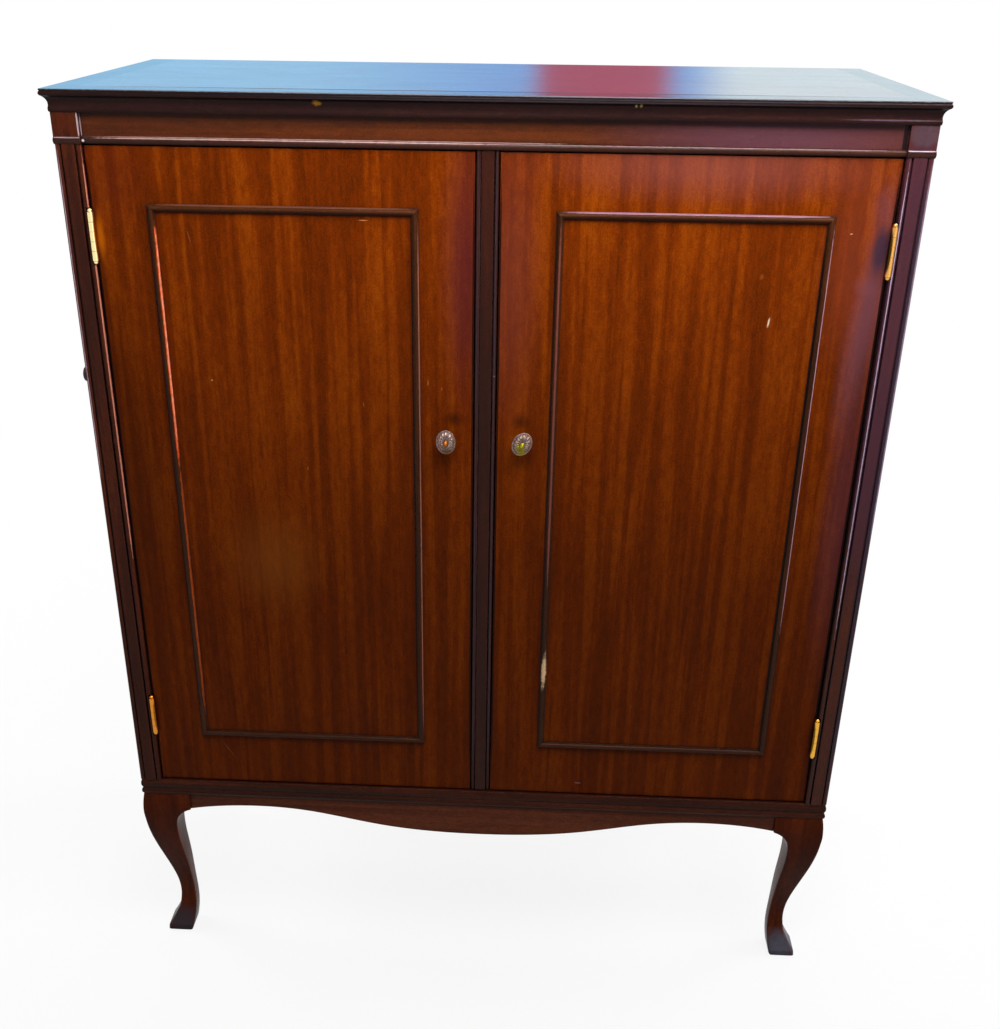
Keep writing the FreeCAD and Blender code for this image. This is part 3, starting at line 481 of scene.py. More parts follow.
@dataclass(frozen=True)
class Wood:
    """Polished, stained or bare wood.

    Attributes:
        name: start of its materials' names.
        dark, middle, light: the stripes' colours.
        ribbon: width of a ribbon stripe, m.
        contrast: how far the stripes part, 0 to 1.
        streak: width of the fine streaks, m.
        pores: how dark the pores are, 0 to 1.
        gloss: roughness of the polish.
        coat: weight of the clear coat.
        coat_from: height above which the coat lies, m.
        specular: the coat's reflectance, as the shader takes it.
        arris: radius of the edges, m.
        rubbed: colour of the worn edges.
        rub: how worn they are, 0 to 1.
        dust_and_shade: how dark the inside corners are, 0 to 1: painted shade, with dust.
        foot_shade: how far the colour darkens from head to foot, 0 to 1: painted shade of the light
            falling off downwards.
        shade_span: heights between which it does, m.
        marks: scratches and chips, and painted highlights, reflections and shade.
    """

    RIBBON_SPAN = (0.36, 0.64)  # noise where a ribbon starts and is full
    STOPS = (0.08, 0.50, 0.92)  # where the three colours lie
    PIT_SPAN = (0.60, 0.70)  # noise where a pore starts and is full
    PIT_LIGHT = 0.35  # share of the dark stripes' light in a pore
    # FOOT_LIGHT sets the light left in the painted shade towards the foot
    FOOT_LIGHT = 0.25  # the same in the shade towards the foot
    CORNER_REACH = 0.010
    PATCHES = (0.42, 0.68, 0.15, 1.0)  # noise from and to, and how worn an arris is there
    PIT_ROUGH, SMEAR_ROUGH = 0.12, 0.22
    PIT_DEPTH, SMEAR_RISE = -0.6, 0.8
    RIPPLE = (0.0002, 0.6)  # depth of the relief, m, and how much of it shows
    COAT_EDGE = 0.0004
    COAT = {"Coat_Roughness": 0.15, "Coat_IOR": 1.45}

    name: str
    dark: Colour
    middle: Colour
    light: Colour
    ribbon: float = 0.020
    contrast: float = 0.6
    streak: float = 0.0022
    pores: float = 0.45
    gloss: float = 0.30
    coat: float = 0.0
    coat_from: float = 0.0
    specular: float = 0.12
    arris: float = 0.0008
    rubbed: Colour = tone(150, 92, 70)
    rub: float = 0.35
    # how dark the inside corners are: painted shade, with dust
    dust_and_shade: float = 0.75
    foot_shade: float = 0.0
    shade_span: tuple[float, float] = (0.30, 1.18)
    marks: tuple[Mark, ...] = ()

    def figure(self, recipe: Recipe, grain: Grain) -> tuple[Socket, Socket]:
        """Ribbons, streaks and pores.

        Args:
            recipe: the material's tree.
            grain: the way the grain runs.

        Returns:
            The wood's colour, and the pores' mask.
        """
        ribbons = Layer(self.ribbon, 0.42, 0.85, rough=0.45, warp=0.35)
        flow = Layer(self.ribbon * 2.6, 0.16, 0.9, detail=1.0, rough=0.5)
        streaks = Layer(self.streak, 0.05, 0.9, detail=3.0, warp=0.2)
        share = 0.5
        for layer in (ribbons, flow, streaks, MOTTLE, SPECKLE, FIBRES):
            value = layer.noise(recipe, grain)
            if layer is ribbons:
                value = recipe.ease(value, *self.RIBBON_SPAN)
            value = recipe.math("SUBTRACT", value, 0.5)
            share = recipe.scaled(value, self.contrast * layer.weight, share)
        colour = recipe.ramp(share, zip(self.STOPS, (self.dark, self.middle, self.light)))
        pits = recipe.ease(PORES.noise(recipe, grain), *self.PIT_SPAN)
        pit_colour = self.dimmed(self.PIT_LIGHT)
        return recipe.blend(recipe.times(pits, self.pores), colour, pit_colour), pits

    def dimmed(self, share: float) -> Colour:
        """The dark stripes' colour with this share of its light."""
        return tuple(channel * share for channel in self.dark)

    def aged(self, recipe: Recipe, colour: Socket, worn: Socket, grit: Socket,
             masks: list[Socket]) -> Socket:
        """Adds the painted shade towards the foot, painted shade with dust in the inside corners,
        rubbed edges and marks.

        Args:
            recipe: the material's tree.
            colour: the wood's colour.
            worn: mask of the arrises.
            grit: coarse noise.
            masks: the marks' masks.

        Returns:
            The colour with its wear, painted shade and painted highlights.
        """
        # painted shade: the colour darkens towards the foot, for the light falling off downwards
        if self.foot_shade:
            height = recipe.parts(recipe.place)[2]
            shade = recipe.ease(height, *self.shade_span, self.foot_shade, 0.0)
            colour = recipe.blend(shade, colour, self.dimmed(self.FOOT_LIGHT))
        # painted shade, with dust, in the inside corners
        dark_hollows = recipe.times(recipe.corners(self.CORNER_REACH), self.dust_and_shade)
        colour = recipe.blend(dark_hollows, colour, CORNER_DUST_AND_SHADE)
        patchy = recipe.ease(grit, *self.PATCHES)
        colour = recipe.blend(recipe.times(worn, patchy, self.rub), colour, self.rubbed)
        for mark, mask in zip(self.marks, masks):
            colour = recipe.blend(mask, colour, mark.colour)
        return colour

    def material(self, grain: Grain) -> bpy.types.Material:
        """The finish on a board of one grain direction.

        Args:
            grain: the way the grain runs.

        Returns:
            The material, made once for each direction.
        """
        name = f"{self.name}_{grain.name.lower()}"
        if name in bpy.data.materials:
            return bpy.data.materials[name]
        recipe = Recipe(name)
        colour, pits = self.figure(recipe, grain)
        normal, worn = recipe.rounded(self.arris)
        grit = recipe.noise(recipe.place, *GRIT)
        smears = SMEARS.noise(recipe, grain)
        rough = recipe.scaled(smears, self.SMEAR_ROUGH, self.gloss - self.SMEAR_ROUGH / 2)
        rough = recipe.scaled(pits, self.PIT_ROUGH, rough)
        ripple = recipe.scaled(pits, self.PIT_DEPTH, recipe.times(smears, self.SMEAR_RISE))
        coat = self.coat
        if self.coat_from:
            height = recipe.parts(recipe.place)[2]
            start = self.coat_from - self.COAT_EDGE
            coat = recipe.ease(height, start, self.coat_from, 0.0, self.coat)
        masks = [mark.mask(recipe, grit) for mark in self.marks]
        for mark, mask in zip(self.marks, masks):
            if mark.matt:
                rough = recipe.scaled(mask, 0.5 * mark.matt, rough)
                coat = recipe.times(coat, recipe.scaled(mask, -mark.matt, 1.0))
        recipe.set(
            Base_Color=self.aged(recipe, colour, worn, grit, masks),
            Roughness=rough,
            Normal=recipe.relief(ripple, *self.RIPPLE, normal),
            Specular_IOR_Level=self.specular,
            Coat_Weight=coat,
            **self.COAT,
        )
        return recipe.material


@dataclass(frozen=True)
class Metal:
    """Cast, rolled or turned metal.

    Attributes:
        name: start of its material's name.
        bright: colour where it is rubbed.
        dull: colour of the tarnish.
        tarnish: share of the surface that it takes, 0 to 1.
        gloss: roughness where it is bright.
        brush: depth of the brushed lines, m.
        recess: colour of what sits in the hollows.
        hollows: how far that colour goes, 0 to 1.
        hollow_reach: how wide a hollow counts, m.
        arris: radius of the edges, m.
        marks: painted highlights and shade, and patches of other colour.
    """

    CLOUDS = (380.0, 3.0, 0.6)  # scale, octaves and their weight
    SPOTS = (1700.0, 2.0, 0.6)
    BRUSHED = (9000.0, 9000.0, 260.0)  # scale of the brushed lines on each axis
    DIRTY_METAL = (0.2, 0.9, 1.0, 0.4)  # dirt from and to, and how metallic it looks there

    name: str
    bright: Colour
    dull: Colour
    tarnish: float = 0.3
    gloss: float = 0.22
    brush: float = 0.00004
    recess: Colour = tone(40, 26, 18)
    hollows: float = 0.7
    hollow_reach: float = 0.0012
    arris: float = 0.0003
    marks: tuple[Mark, ...] = ()

    def material(self) -> bpy.types.Material:
        """The finish.

        Returns:
            The material, made once.
        """
        name = f"{self.name}_finish"
        if name in bpy.data.materials:
            return bpy.data.materials[name]
        recipe = Recipe(name)
        clouds = recipe.noise(recipe.place, *self.CLOUDS)
        spots = recipe.noise(recipe.place, *self.SPOTS)
        lines = recipe.noise(recipe.stretched(self.BRUSHED), 1.0, 2.0, 0.6)
        normal, worn = recipe.rounded(self.arris)
        cloudy = recipe.scaled(spots, 0.35, clouds)
        film = recipe.ease(cloudy, 0.95 - self.tarnish, 1.15 - self.tarnish * 0.5)
        film = recipe.times(film, recipe.ease(worn, 0.0, 1.0, 1.0, 0.25))
        colour = recipe.blend(film, self.bright, self.dull)
        for mark in self.marks:
            colour = recipe.blend(mark.mask(recipe, clouds), colour, mark.colour)
        dark_hollows = recipe.times(recipe.corners(self.hollow_reach), self.hollows)
        rough = recipe.math("ADD", recipe.scaled(film, 0.22, self.gloss), recipe.times(spots, 0.06))
        recipe.set(
            Base_Color=recipe.blend(dark_hollows, colour, self.recess),
            Metallic=recipe.ease(dark_hollows, *self.DIRTY_METAL),
            Roughness=rough,
            Normal=recipe.relief(recipe.scaled(clouds, 2.0, lines), self.brush, 0.5, normal),
        )
        return recipe.material


# ------------------------------------------------------------------ marks and woods
# scratches on the left door, and painted shadow, shade and reflections
LEFT_DOOR_SCRATCHES_AND_PAINTED_LIGHT = (
    # painted shadow above the knob
    spot(-0.0385, 0.86, 0.017, 0.013, tone(46, 16, 2), 0.65, 0.1, 0.1),
    # painted shade down the hinge stile
    spot(-0.455, 0.8, 0.065, 0.38, tone(52, 16, 1), 0.5, 0.12, 0.05),
    # darker red and purple tints by the top corner and by the mullion: painted reflection tints
    # over worn polish
    spot(-0.44, 1.15, 0.06, 0.09, tone(98, 30, 16), 0.45, 0.12, 0.05),
    spot(-0.028, 1.05, 0.036, 0.22, tone(92, 32, 40), 0.6, 0.12, 0.05),
    # painted reflection: a soft glow on the lower panel
    spot(-0.278, 0.656, 0.085, 0.1, tone(150, 84, 30), 0.32, 0.1, 0.05),
    # painted reflection of the hinge in the polish
    spot(-0.4605, 1.076, 0.0065, 0.038, tone(214, 112, 10), 0.7, 0.12, 0.1),
    # painted shade in the gaps at the door's two edges
    upright(-0.4666, 0.3, 1.19, 0.0012, tone(16, 7, 6), 0.95, -0.212, 0.1),
    upright(-0.0158, 0.3, 1.179, 0.0013, tone(12, 6, 7), 0.9, -0.212, 0.1),
    scratch(-0.146, 1.101, 0.0075, 0.0008, 0, tone(235, 160, 110)),
    scratch(-0.3545, 1.078, 0.0006, 0.013, -14, tone(190, 110, 60), 0.6),
    scratch(-0.342, 0.903, 0.0016, 0.001, 20, tone(226, 196, 150)),
    scratch(-0.071, 0.906, 0.0008, 0.006, 4, tone(200, 140, 60), 0.7),
    scratch(-0.054, 0.899, 0.0009, 0.003, 0, tone(190, 120, 50), 0.6),
    scratch(-0.152, 0.876, 0.0008, 0.004, -10, tone(190, 120, 50), 0.6),
    scratch(-0.227, 0.789, 0.0008, 0.004, 8, tone(190, 120, 60), 0.6),
    scratch(-0.365, 0.35, 0.0009, 0.024, -32, tone(130, 80, 50), 0.8),
)
# scratches on the right door, and painted shadow, shade and reflections
RIGHT_DOOR_SCRATCHES_AND_PAINTED_LIGHT = (
    # painted shadow above the knob
    spot(0.045, 0.8585, 0.018, 0.013, tone(50, 18, 3), 0.65, 0.1, 0.1),
    # painted reflections of a bluish light from the right: pink and lilac veils by the upper hinge
    spot(0.428, 1.06, 0.052, 0.17, tone(150, 66, 44), 0.4, 0.14, 0.05),
    spot(0.452, 1.0, 0.026, 0.2, tone(128, 80, 92), 0.62, 0.22, 0.05, 5),
    spot(0.452, 1.128, 0.018, 0.036, tone(132, 78, 86), 0.28, 0.3, 0.05),
    spot(0.448, 1.034, 0.026, 0.016, tone(140, 84, 94), 0.26, 0.35, 0.05, 20),
    # painted shade beside the upper hinge
    spot(0.457, 1.078, 0.012, 0.038, tone(58, 46, 66), 0.8, 0.15, 0.3),
    # painted reflections: a purple veil down the hinge stile, a pink haze along the top and a
    # reddish tint by the mullion
    spot(0.456, 0.76, 0.034, 0.33, tone(92, 48, 58), 0.5, 0.18, 0.05),
    spot(0.26, 1.168, 0.25, 0.052, tone(152, 82, 74), 0.5, 0.2, 0.05),
    spot(0.03, 1.04, 0.05, 0.24, tone(118, 52, 44), 0.5, 0.12, 0.05),
    # painted shade in the gaps at the door's two edges
    upright(0.4663, 0.3, 1.19, 0.0019, tone(14, 6, 7), 0.95, -0.212, 0.1),
    upright(0.0158, 0.3, 1.179, 0.0014, tone(12, 6, 7), 0.9, -0.212, 0.1),
    scratch(0.338, 0.991, 0.0017, 0.0072, 8, tone(250, 222, 184), 1.0),
    scratch(0.324, 1.045, 0.0035, 0.0045, 10, tone(190, 100, 40), 0.35),
    scratch(0.421, 1.096, 0.0022, 0.0008, -10, tone(240, 190, 160)),
    scratch(0.141, 0.314, 0.0062, 0.0008, 2, tone(190, 150, 140), 0.8),
)
LEFT_STRIP_PAINTED_LIGHT = (
    # painted highlights on the strips' lit flanks and arrises, and painted shade on their shaded
    # flanks
    upright(-0.3934, 0.78, 1.102, 0.0017, tone(236, 92, 34), 0.95, -0.2155, 0.4),
    upright(-0.3934, 0.8, 1.098, 0.0007, tone(255, 190, 156), 0.8, -0.216, 0.55),
    upright(-0.3934, 0.4, 0.8, 0.0014, tone(178, 78, 28), 0.8, -0.2155, 0.45),
    upright(-0.4005, 0.38, 1.11, 0.0015, tone(22, 9, 8), 0.8, -0.214, 0.1),
    upright(-0.0814, 0.38, 1.112, 0.001, tone(168, 110, 92), 0.85, -0.214, 0.3),
    upright(-0.089, 0.38, 1.108, 0.0014, tone(18, 7, 6), 0.8, -0.214, 0.1),
    level(1.1148, -0.4, -0.082, 0.001, tone(140, 88, 66), 0.7, -0.214, 0.35),
    level(0.3756, -0.4, -0.082, 0.0011, tone(196, 128, 104), 0.9, -0.2145, 0.3),
)
RIGHT_STRIP_PAINTED_LIGHT = (
    # painted highlights and a painted glint on the strips' lit arrises, and painted shade on their
    # shaded flanks
    Mark((0.0862, -0.2165, 0.5), (0.005, 0.008, 0.034), tone(250, 208, 160), 2, 1.0, 0.55, 0.35),
    upright(0.0818, 0.38, 1.112, 0.0012, tone(26, 10, 9), 0.7, -0.214, 0.1),
    upright(0.0862, 0.62, 1.112, 0.0016, tone(138, 76, 66), 0.75, -0.2168, 0.35),
    upright(0.4008, 0.56, 1.112, 0.0011, tone(214, 160, 168), 0.9, -0.214, 0.3),
    upright(0.3932, 0.38, 1.108, 0.0021, tone(16, 7, 8), 0.85, -0.214, 0.1),
    level(1.1148, 0.082, 0.401, 0.0012, tone(186, 136, 148), 0.85, -0.214, 0.3),
    level(0.3756, 0.082, 0.401, 0.001, tone(184, 120, 100), 0.8, -0.2145, 0.3),
)

STRIPED_MAHOGANY = Wood(
    "striped_mahogany_left", tone(90, 34, 2), tone(130, 50, 3), tone(170, 77, 8),
    ribbon=0.013, contrast=0.38, streak=0.002, pores=0.3, gloss=0.36, specular=0.045,
    rubbed=tone(128, 74, 56), rub=0.3, dust_and_shade=0.8, foot_shade=0.48, shade_span=(0.55, 1.18),
    marks=LEFT_DOOR_SCRATCHES_AND_PAINTED_LIGHT,
)
STRIP_MAHOGANY = Wood(
    "strip_mahogany_left", tone(52, 25, 7), tone(76, 37, 11), tone(98, 48, 15),
    ribbon=0.01, contrast=0.4, gloss=0.3, specular=0.09, rubbed=tone(156, 96, 70), rub=0.4,
    dust_and_shade=0.85, foot_shade=0.4, shade_span=(0.55, 1.18), marks=LEFT_STRIP_PAINTED_LIGHT,
)
DOOR_WOODS = {
    Side.LEFT: STRIPED_MAHOGANY,
    Side.RIGHT: replace(STRIPED_MAHOGANY, name="striped_mahogany_right", marks=RIGHT_DOOR_SCRATCHES_AND_PAINTED_LIGHT),
}
STRIP_WOODS = {
    Side.LEFT: STRIP_MAHOGANY,
    Side.RIGHT: replace(STRIP_MAHOGANY, name="strip_mahogany_right", marks=RIGHT_STRIP_PAINTED_LIGHT),
}
POLISHED_MAHOGANY = Wood(
    "polished_mahogany", tone(58, 24, 12), tone(82, 34, 16), tone(106, 46, 22),
    ribbon=0.012, contrast=0.4, streak=0.002, pores=0.35, gloss=0.27, specular=0.14,
    rubbed=tone(168, 118, 104), rub=0.45, dust_and_shade=0.85, foot_shade=0.3, shade_span=(0.22, 1.2),
)
POST_WOODS = {
    Side.LEFT: replace(POLISHED_MAHOGANY, name="post_mahogany_left", specular=0.08, marks=(
        Mark((-0.484, -0.218, 1.0), (0.02, 0.01, 0.24), tone(46, 24, 22), 0, 0.6, 0.12, 0.1),
        Mark((-0.485, -0.218, 1.205), (0.013, 0.01, 0.011), tone(96, 38, 14), 0, 0.6, 0.15, 0.2),
        # painted highlight on the block's side face, painted highlights on the beads, and painted
        # shade in the quirks beside them
        upright(-0.4698, 1.189, 1.2165, 0.001, tone(224, 196, 200), 0.95, -0.218, 0.2),
        upright(-0.4696, 0.64, 1.186, 0.0008, tone(222, 140, 116), 0.9, -0.217, 0.3),
        upright(-0.4974, 0.76, 1.186, 0.0009, tone(220, 178, 190), 0.9, -0.2178, 0.3),
        upright(-0.4915, 0.3, 1.186, 0.001, tone(20, 9, 9), 0.7, -0.217, 0.2),
        upright(-0.4765, 0.3, 1.186, 0.001, tone(20, 9, 9), 0.7, -0.217, 0.2),
    )),
    Side.RIGHT: replace(POLISHED_MAHOGANY, name="post_mahogany_right", marks=(
        # painted reflections of a bluish light from the right on the post, its block and outer
        # bead; painted shade in the door gap and the quirks; painted highlights on the beads
        Mark((0.485, -0.218, 0.98), (0.032, 0.012, 0.42), tone(84, 44, 60), 0, 0.72, 0.14, 0.45),
        upright(0.4698, 0.3, 1.19, 0.0012, tone(14, 6, 8), 0.9, -0.217, 0.1),
        Mark((0.486, -0.218, 1.206), (0.022, 0.01, 0.016), tone(92, 70, 78), 0, 0.65, 0.2, 0.55),
        upright(0.4768, 0.3, 1.186, 0.0012, tone(30, 20, 30), 0.75, -0.217, 0.2),
        upright(0.4955, 0.3, 1.186, 0.0022, tone(58, 50, 66), 0.8, -0.2175, 0.15),
        upright(0.4731, 0.56, 1.186, 0.0008, tone(206, 184, 212), 0.9, -0.218, 0.25),
        upright(0.4982, 0.7, 1.186, 0.001, tone(158, 136, 154), 0.75, -0.2175, 0.35),
        upright(0.4915, 0.3, 1.186, 0.0011, tone(24, 14, 20), 0.75, -0.217, 0.2),
    )),
}
MULLION_MAHOGANY = replace(
    POLISHED_MAHOGANY, name="mullion_mahogany", dark=tone(44, 19, 12), middle=tone(64, 27, 15),
    light=tone(84, 37, 20), specular=0.1, rubbed=tone(150, 104, 96), foot_shade=0.4,
    shade_span=(0.7, 1.2),
    marks=(
        # painted reflections and a painted highlight on the beads
        upright(-0.0112, 0.31, 1.22, 0.0013, tone(72, 58, 66), 0.55, -0.2132, 0.15),
        upright(-0.0086, 0.31, 1.22, 0.0006, tone(120, 78, 80), 0.7, -0.2132, 0.25),
        upright(0.0104, 0.31, 1.22, 0.0016, tone(70, 60, 70), 0.5, -0.2132, 0.15),
        scratch(0.0111, 0.9167, 0.0012, 0.0016, 0, tone(190, 150, 120), 0.8),
    ),
)
FRIEZE_MAHOGANY = Wood(
    "frieze_mahogany", tone(70, 30, 10), tone(94, 42, 14), tone(116, 54, 20),
    ribbon=0.012, contrast=0.4, gloss=0.28, specular=0.12, rub=0.35, dust_and_shade=0.8,
    marks=(
        # painted reflection of a bluish light from the right, painted highlights on the block's
        # side face and along the top, and the block's painted shadow at the right end
        Mark((0.33, -0.218, 1.2), (0.26, 0.02, 0.06), tone(104, 66, 84), 0, 0.8, 0.1, 0.05),
        upright(-0.4684, 1.1885, 1.2165, 0.0009, tone(206, 176, 180), 0.8, -0.213, 0.2),
        upright(0.4655, 1.186, 1.22, 0.0034, tone(12, 6, 8), 0.9, -0.213, 0.1),
        level(1.1893, -0.469, 0.1, 0.0007, tone(216, 176, 168), 0.8, -0.213, 0.35),
    ),
)
BEAD_MAHOGANY = Wood(
    "bead_mahogany", tone(40, 18, 10), tone(60, 27, 15), tone(80, 38, 20),
    ribbon=0.012, contrast=0.4, gloss=0.26, specular=0.16, rub=0.45, dust_and_shade=0.8,
    marks=(
        # painted highlights along the bead and a painted glint at its left end
        level(1.188, -0.469, 0.02, 0.0007, tone(226, 184, 176), 0.75, -0.214, 0.45),
        level(1.188, -0.05, 0.47, 0.0006, tone(190, 150, 148), 0.5, -0.214, 0.45),
        level(1.1884, -0.501, -0.468, 0.0009, tone(200, 172, 176), 0.8, -0.2186, 0.25),
        level(1.1884, 0.468, 0.501, 0.0009, tone(196, 178, 196), 0.9, -0.2186, 0.25),
        Mark((-0.4662, -0.2155, 1.185), (0.002, 0.003, 0.002), tone(240, 232, 232), 0, 1.0, 0.1,
             0.6),
    ),
)
CORNICE_MAHOGANY = Wood(
    "cornice_mahogany", tone(30, 12, 11), tone(44, 19, 16), tone(60, 27, 22),
    ribbon=0.01, contrast=0.4, gloss=0.22, coat=1.0, coat_from=1.2409, specular=0.09,
    rubbed=tone(120, 96, 90), rub=0.2, dust_and_shade=0.7,
    marks=(
        # painted highlights on the top arris, the nosing and the cove's foot, and painted shade in
        # the quirk under the arris
        Mark((0.0, -0.2255, 1.2404), (0.64, 0.001, 0.0009), tone(150, 150, 160), 0, 0.75, 0.3,
             0.55),
        Mark((0.0, -0.2262, 1.238), (0.64, 0.0022, 0.0018), tone(12, 8, 14), 0, 0.85, 0.1, 0.6),
        Mark((0.1, -0.2262, 1.2345), (0.5, 0.0022, 0.0018), tone(86, 80, 92), 0, 0.6, 0.15, 0.4),
        Mark((0.45, -0.221, 1.2205), (0.075, 0.006, 0.0012), tone(120, 100, 116), 0, 0.6, 0.25,
             0.4),
        Mark((-0.1925, -0.2235, 1.229), (0.0075, 0.009, 0.0042), tone(214, 150, 40), 0, 1.0, 0.55,
             0.35),
        Mark((0.164, -0.2235, 1.2315), (0.0018, 0.009, 0.0026), tone(236, 200, 120), 0, 1.0, 0.45,
             0.35),
        Mark((0.1695, -0.2235, 1.2315), (0.002, 0.009, 0.0028), tone(236, 200, 120), 0, 1.0, 0.45,
             0.35),
    ),
)
TOP_MAHOGANY = Wood(
    "top_mahogany", tone(60, 26, 18), tone(84, 38, 26), tone(108, 52, 34),
    ribbon=0.02, contrast=0.5, gloss=0.22, coat=1.0, specular=0.5, rub=0.35, dust_and_shade=0.5,
    marks=(
        Mark((0.0, -0.186, 1.241), (0.56, 0.006, 0.01), tone(24, 16, 20), 0, 0.8, 0.1, 0.5,
             Face.TOP, 0.75),
    ),
)
SIDE_MAHOGANY = Wood(
    "side_mahogany", tone(74, 30, 10), tone(102, 44, 14), tone(130, 60, 20),
    ribbon=0.018, contrast=0.55, gloss=0.34, specular=0.14, dust_and_shade=0.85, foot_shade=0.15,
)
BASE_MAHOGANY = Wood(
    "base_mahogany", tone(46, 20, 10), tone(66, 29, 16), tone(86, 40, 22),
    ribbon=0.012, contrast=0.5, gloss=0.3, specular=0.06, rubbed=tone(190, 140, 122), rub=0.5,
    dust_and_shade=0.8,
)
APRON_MAHOGANY = Wood(
    "apron_mahogany", tone(74, 34, 16), tone(98, 46, 24), tone(120, 60, 34),
    ribbon=0.014, contrast=0.5, gloss=0.32, specular=0.08, rubbed=tone(170, 126, 112), rub=0.4,
    dust_and_shade=0.8,
)
LEG_MAHOGANY = Wood(
    "leg_mahogany", tone(64, 23, 5), tone(88, 33, 9), tone(110, 46, 17),
    ribbon=0.011, contrast=0.36, gloss=0.28, specular=0.04, arris=0.001, rubbed=tone(150, 100, 80),
    rub=0.3, dust_and_shade=0.6,
    marks=tuple(
        Mark((side.sign * 0.468, y, 0.002), (0.044, 0.044, 0.046), shade, 0, 0.85, 0.25, 0.45,
             Face.TOP)
        for side, shade in zip(Side, (tone(54, 54, 60), tone(84, 90, 102))) for y in (-0.186, 0.2)
    ),
)
INNER_WOOD = Wood(
    "inner_wood", tone(124, 84, 50), tone(152, 108, 68), tone(176, 130, 86),
    ribbon=0.016, contrast=0.5, pores=0.3, gloss=0.55, specular=0.25, arris=0.0006,
    rubbed=tone(190, 150, 108), rub=0.35, dust_and_shade=0.55,
)
PLYWOOD = Wood(
    "plywood", tone(160, 122, 80), tone(188, 150, 104), tone(208, 172, 126),
    ribbon=0.03, contrast=0.5, pores=0.22, gloss=0.6, specular=0.2, arris=0.0004,
    rubbed=tone(206, 172, 130), rub=0.3, dust_and_shade=0.5,
)
DARK_WOOD = Wood(
    "dark_wood", tone(26, 12, 10), tone(40, 20, 16), tone(58, 30, 22),
    ribbon=0.004, contrast=0.5, gloss=0.4, coat=0.2, specular=0.25, rub=0.3, dust_and_shade=0.6,
)
POLISHED_BRASS = Metal(
    "polished_brass", tone(228, 166, 86), tone(150, 110, 24), 0.22, 0.13,
    marks=(
        # painted highlights and shade on the hinges: the upper left one lit pale, the lower ones
        # more orange, and shaded strips down the knuckles
        Mark((-0.468, -0.217, 1.0775), (0.03, 0.03, 0.06), tone(255, 240, 176), 0, 0.9, 0.1, 0.6),
        Mark((-0.468, -0.217, 0.4075), (0.03, 0.03, 0.06), tone(196, 118, 24), 0, 0.8, 0.1, 0.6),
        Mark((0.468, -0.217, 0.4075), (0.03, 0.03, 0.06), tone(226, 168, 56), 0, 0.8, 0.1, 0.6),
        Mark((0.4652, -0.219, 1.0775), (0.0028, 0.012, 0.03), tone(44, 32, 0), 0, 0.94, 0.08, 0.6),
        Mark((0.4652, -0.219, 0.4075), (0.0024, 0.012, 0.03), tone(62, 42, 2), 0, 0.88, 0.08, 0.6),
        Mark((-0.4646, -0.219, 1.0775), (0.0014, 0.012, 0.027), tone(210, 130, 20), 0, 0.9, 0.08,
             0.6),
        Mark((-0.4655, -0.219, 0.4075), (0.0018, 0.012, 0.027), tone(120, 66, 6), 0, 0.85, 0.08,
             0.6),
    ),
)
BRASS_SCREWS = Metal("brass_screws", tone(226, 186, 104), tone(140, 102, 54), 0.4, 0.28)
WORN_BRASS = Metal(
    "worn_brass", tone(140, 118, 112), tone(100, 74, 58), 0.45, 0.36, recess=tone(12, 8, 6),
    hollows=1.0, hollow_reach=0.002,
    marks=(
        # painted shade: the left knob's lower half darker and browner
        Mark((-0.047, -0.235, 0.8235), (0.01, 0.03, 0.0065), tone(96, 66, 26), 0, 0.75, 0.15, 0.3),
        Mark((0.0462, -0.235, 0.8285), (0.0072, 0.03, 0.012), tone(140, 130, 26), -20, 0.85, 0.2,
             0.45),
    ),
)
BUD_BRASSES = {
    Side.LEFT: Metal("bud_brass_left", tone(186, 108, 38), tone(128, 72, 26), 0.35, 0.36,
                     recess=tone(60, 32, 12)),
    Side.RIGHT: Metal("bud_brass_right", tone(170, 164, 36), tone(112, 106, 20), 0.35, 0.36,
                      recess=tone(50, 48, 10)),
}
DULL_BRASS = Metal("dull_brass", tone(176, 146, 92), tone(110, 86, 52), 0.55, 0.36)
STEEL_SCREWS = Metal("steel_screws", tone(176, 174, 170), tone(104, 98, 92), 0.45, 0.3)


# ------------------------------------------------------------------ meshes
def paint(frame: dict, finish: bpy.types.Material, *nodes: str) -> None:
    """Gives carried-over nodes a material.

    Args:
        finish: the material for all their slots.
        nodes: the nodes' names.
    """
    for node in nodes:
        for slot in frame["nodes"][node].material_slots:
            slot.material = finish


def both(name: str) -> tuple[str, ...]:
    """Names of the left and the right node of a pair."""
    return tuple(f"{name}_{side.word}" for side in Side)


def finished(mesh: bpy.types.Mesh, body: Body, slot: str, *replaced: str) -> bpy.types.Object:
    """Puts a mesh, already in place, into the scene as a piece of the object.

    Args:
        mesh: its mesh in the row frame, which has the piece's name.
        body: the body that it rides on.
        slot: the record's material slot; not used.
        replaced: the nodes that it stands for.

    Returns:
        The new object.
    """
    made = bpy.data.objects.new(mesh.name, mesh)
    bpy.context.scene.collection.objects.link(made)
    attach(made, body.value)
    if replaced:
        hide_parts(*replaced)
    LOG.info("%s on %s: %d faces", mesh.name, body.value, len(mesh.polygons))
    return made


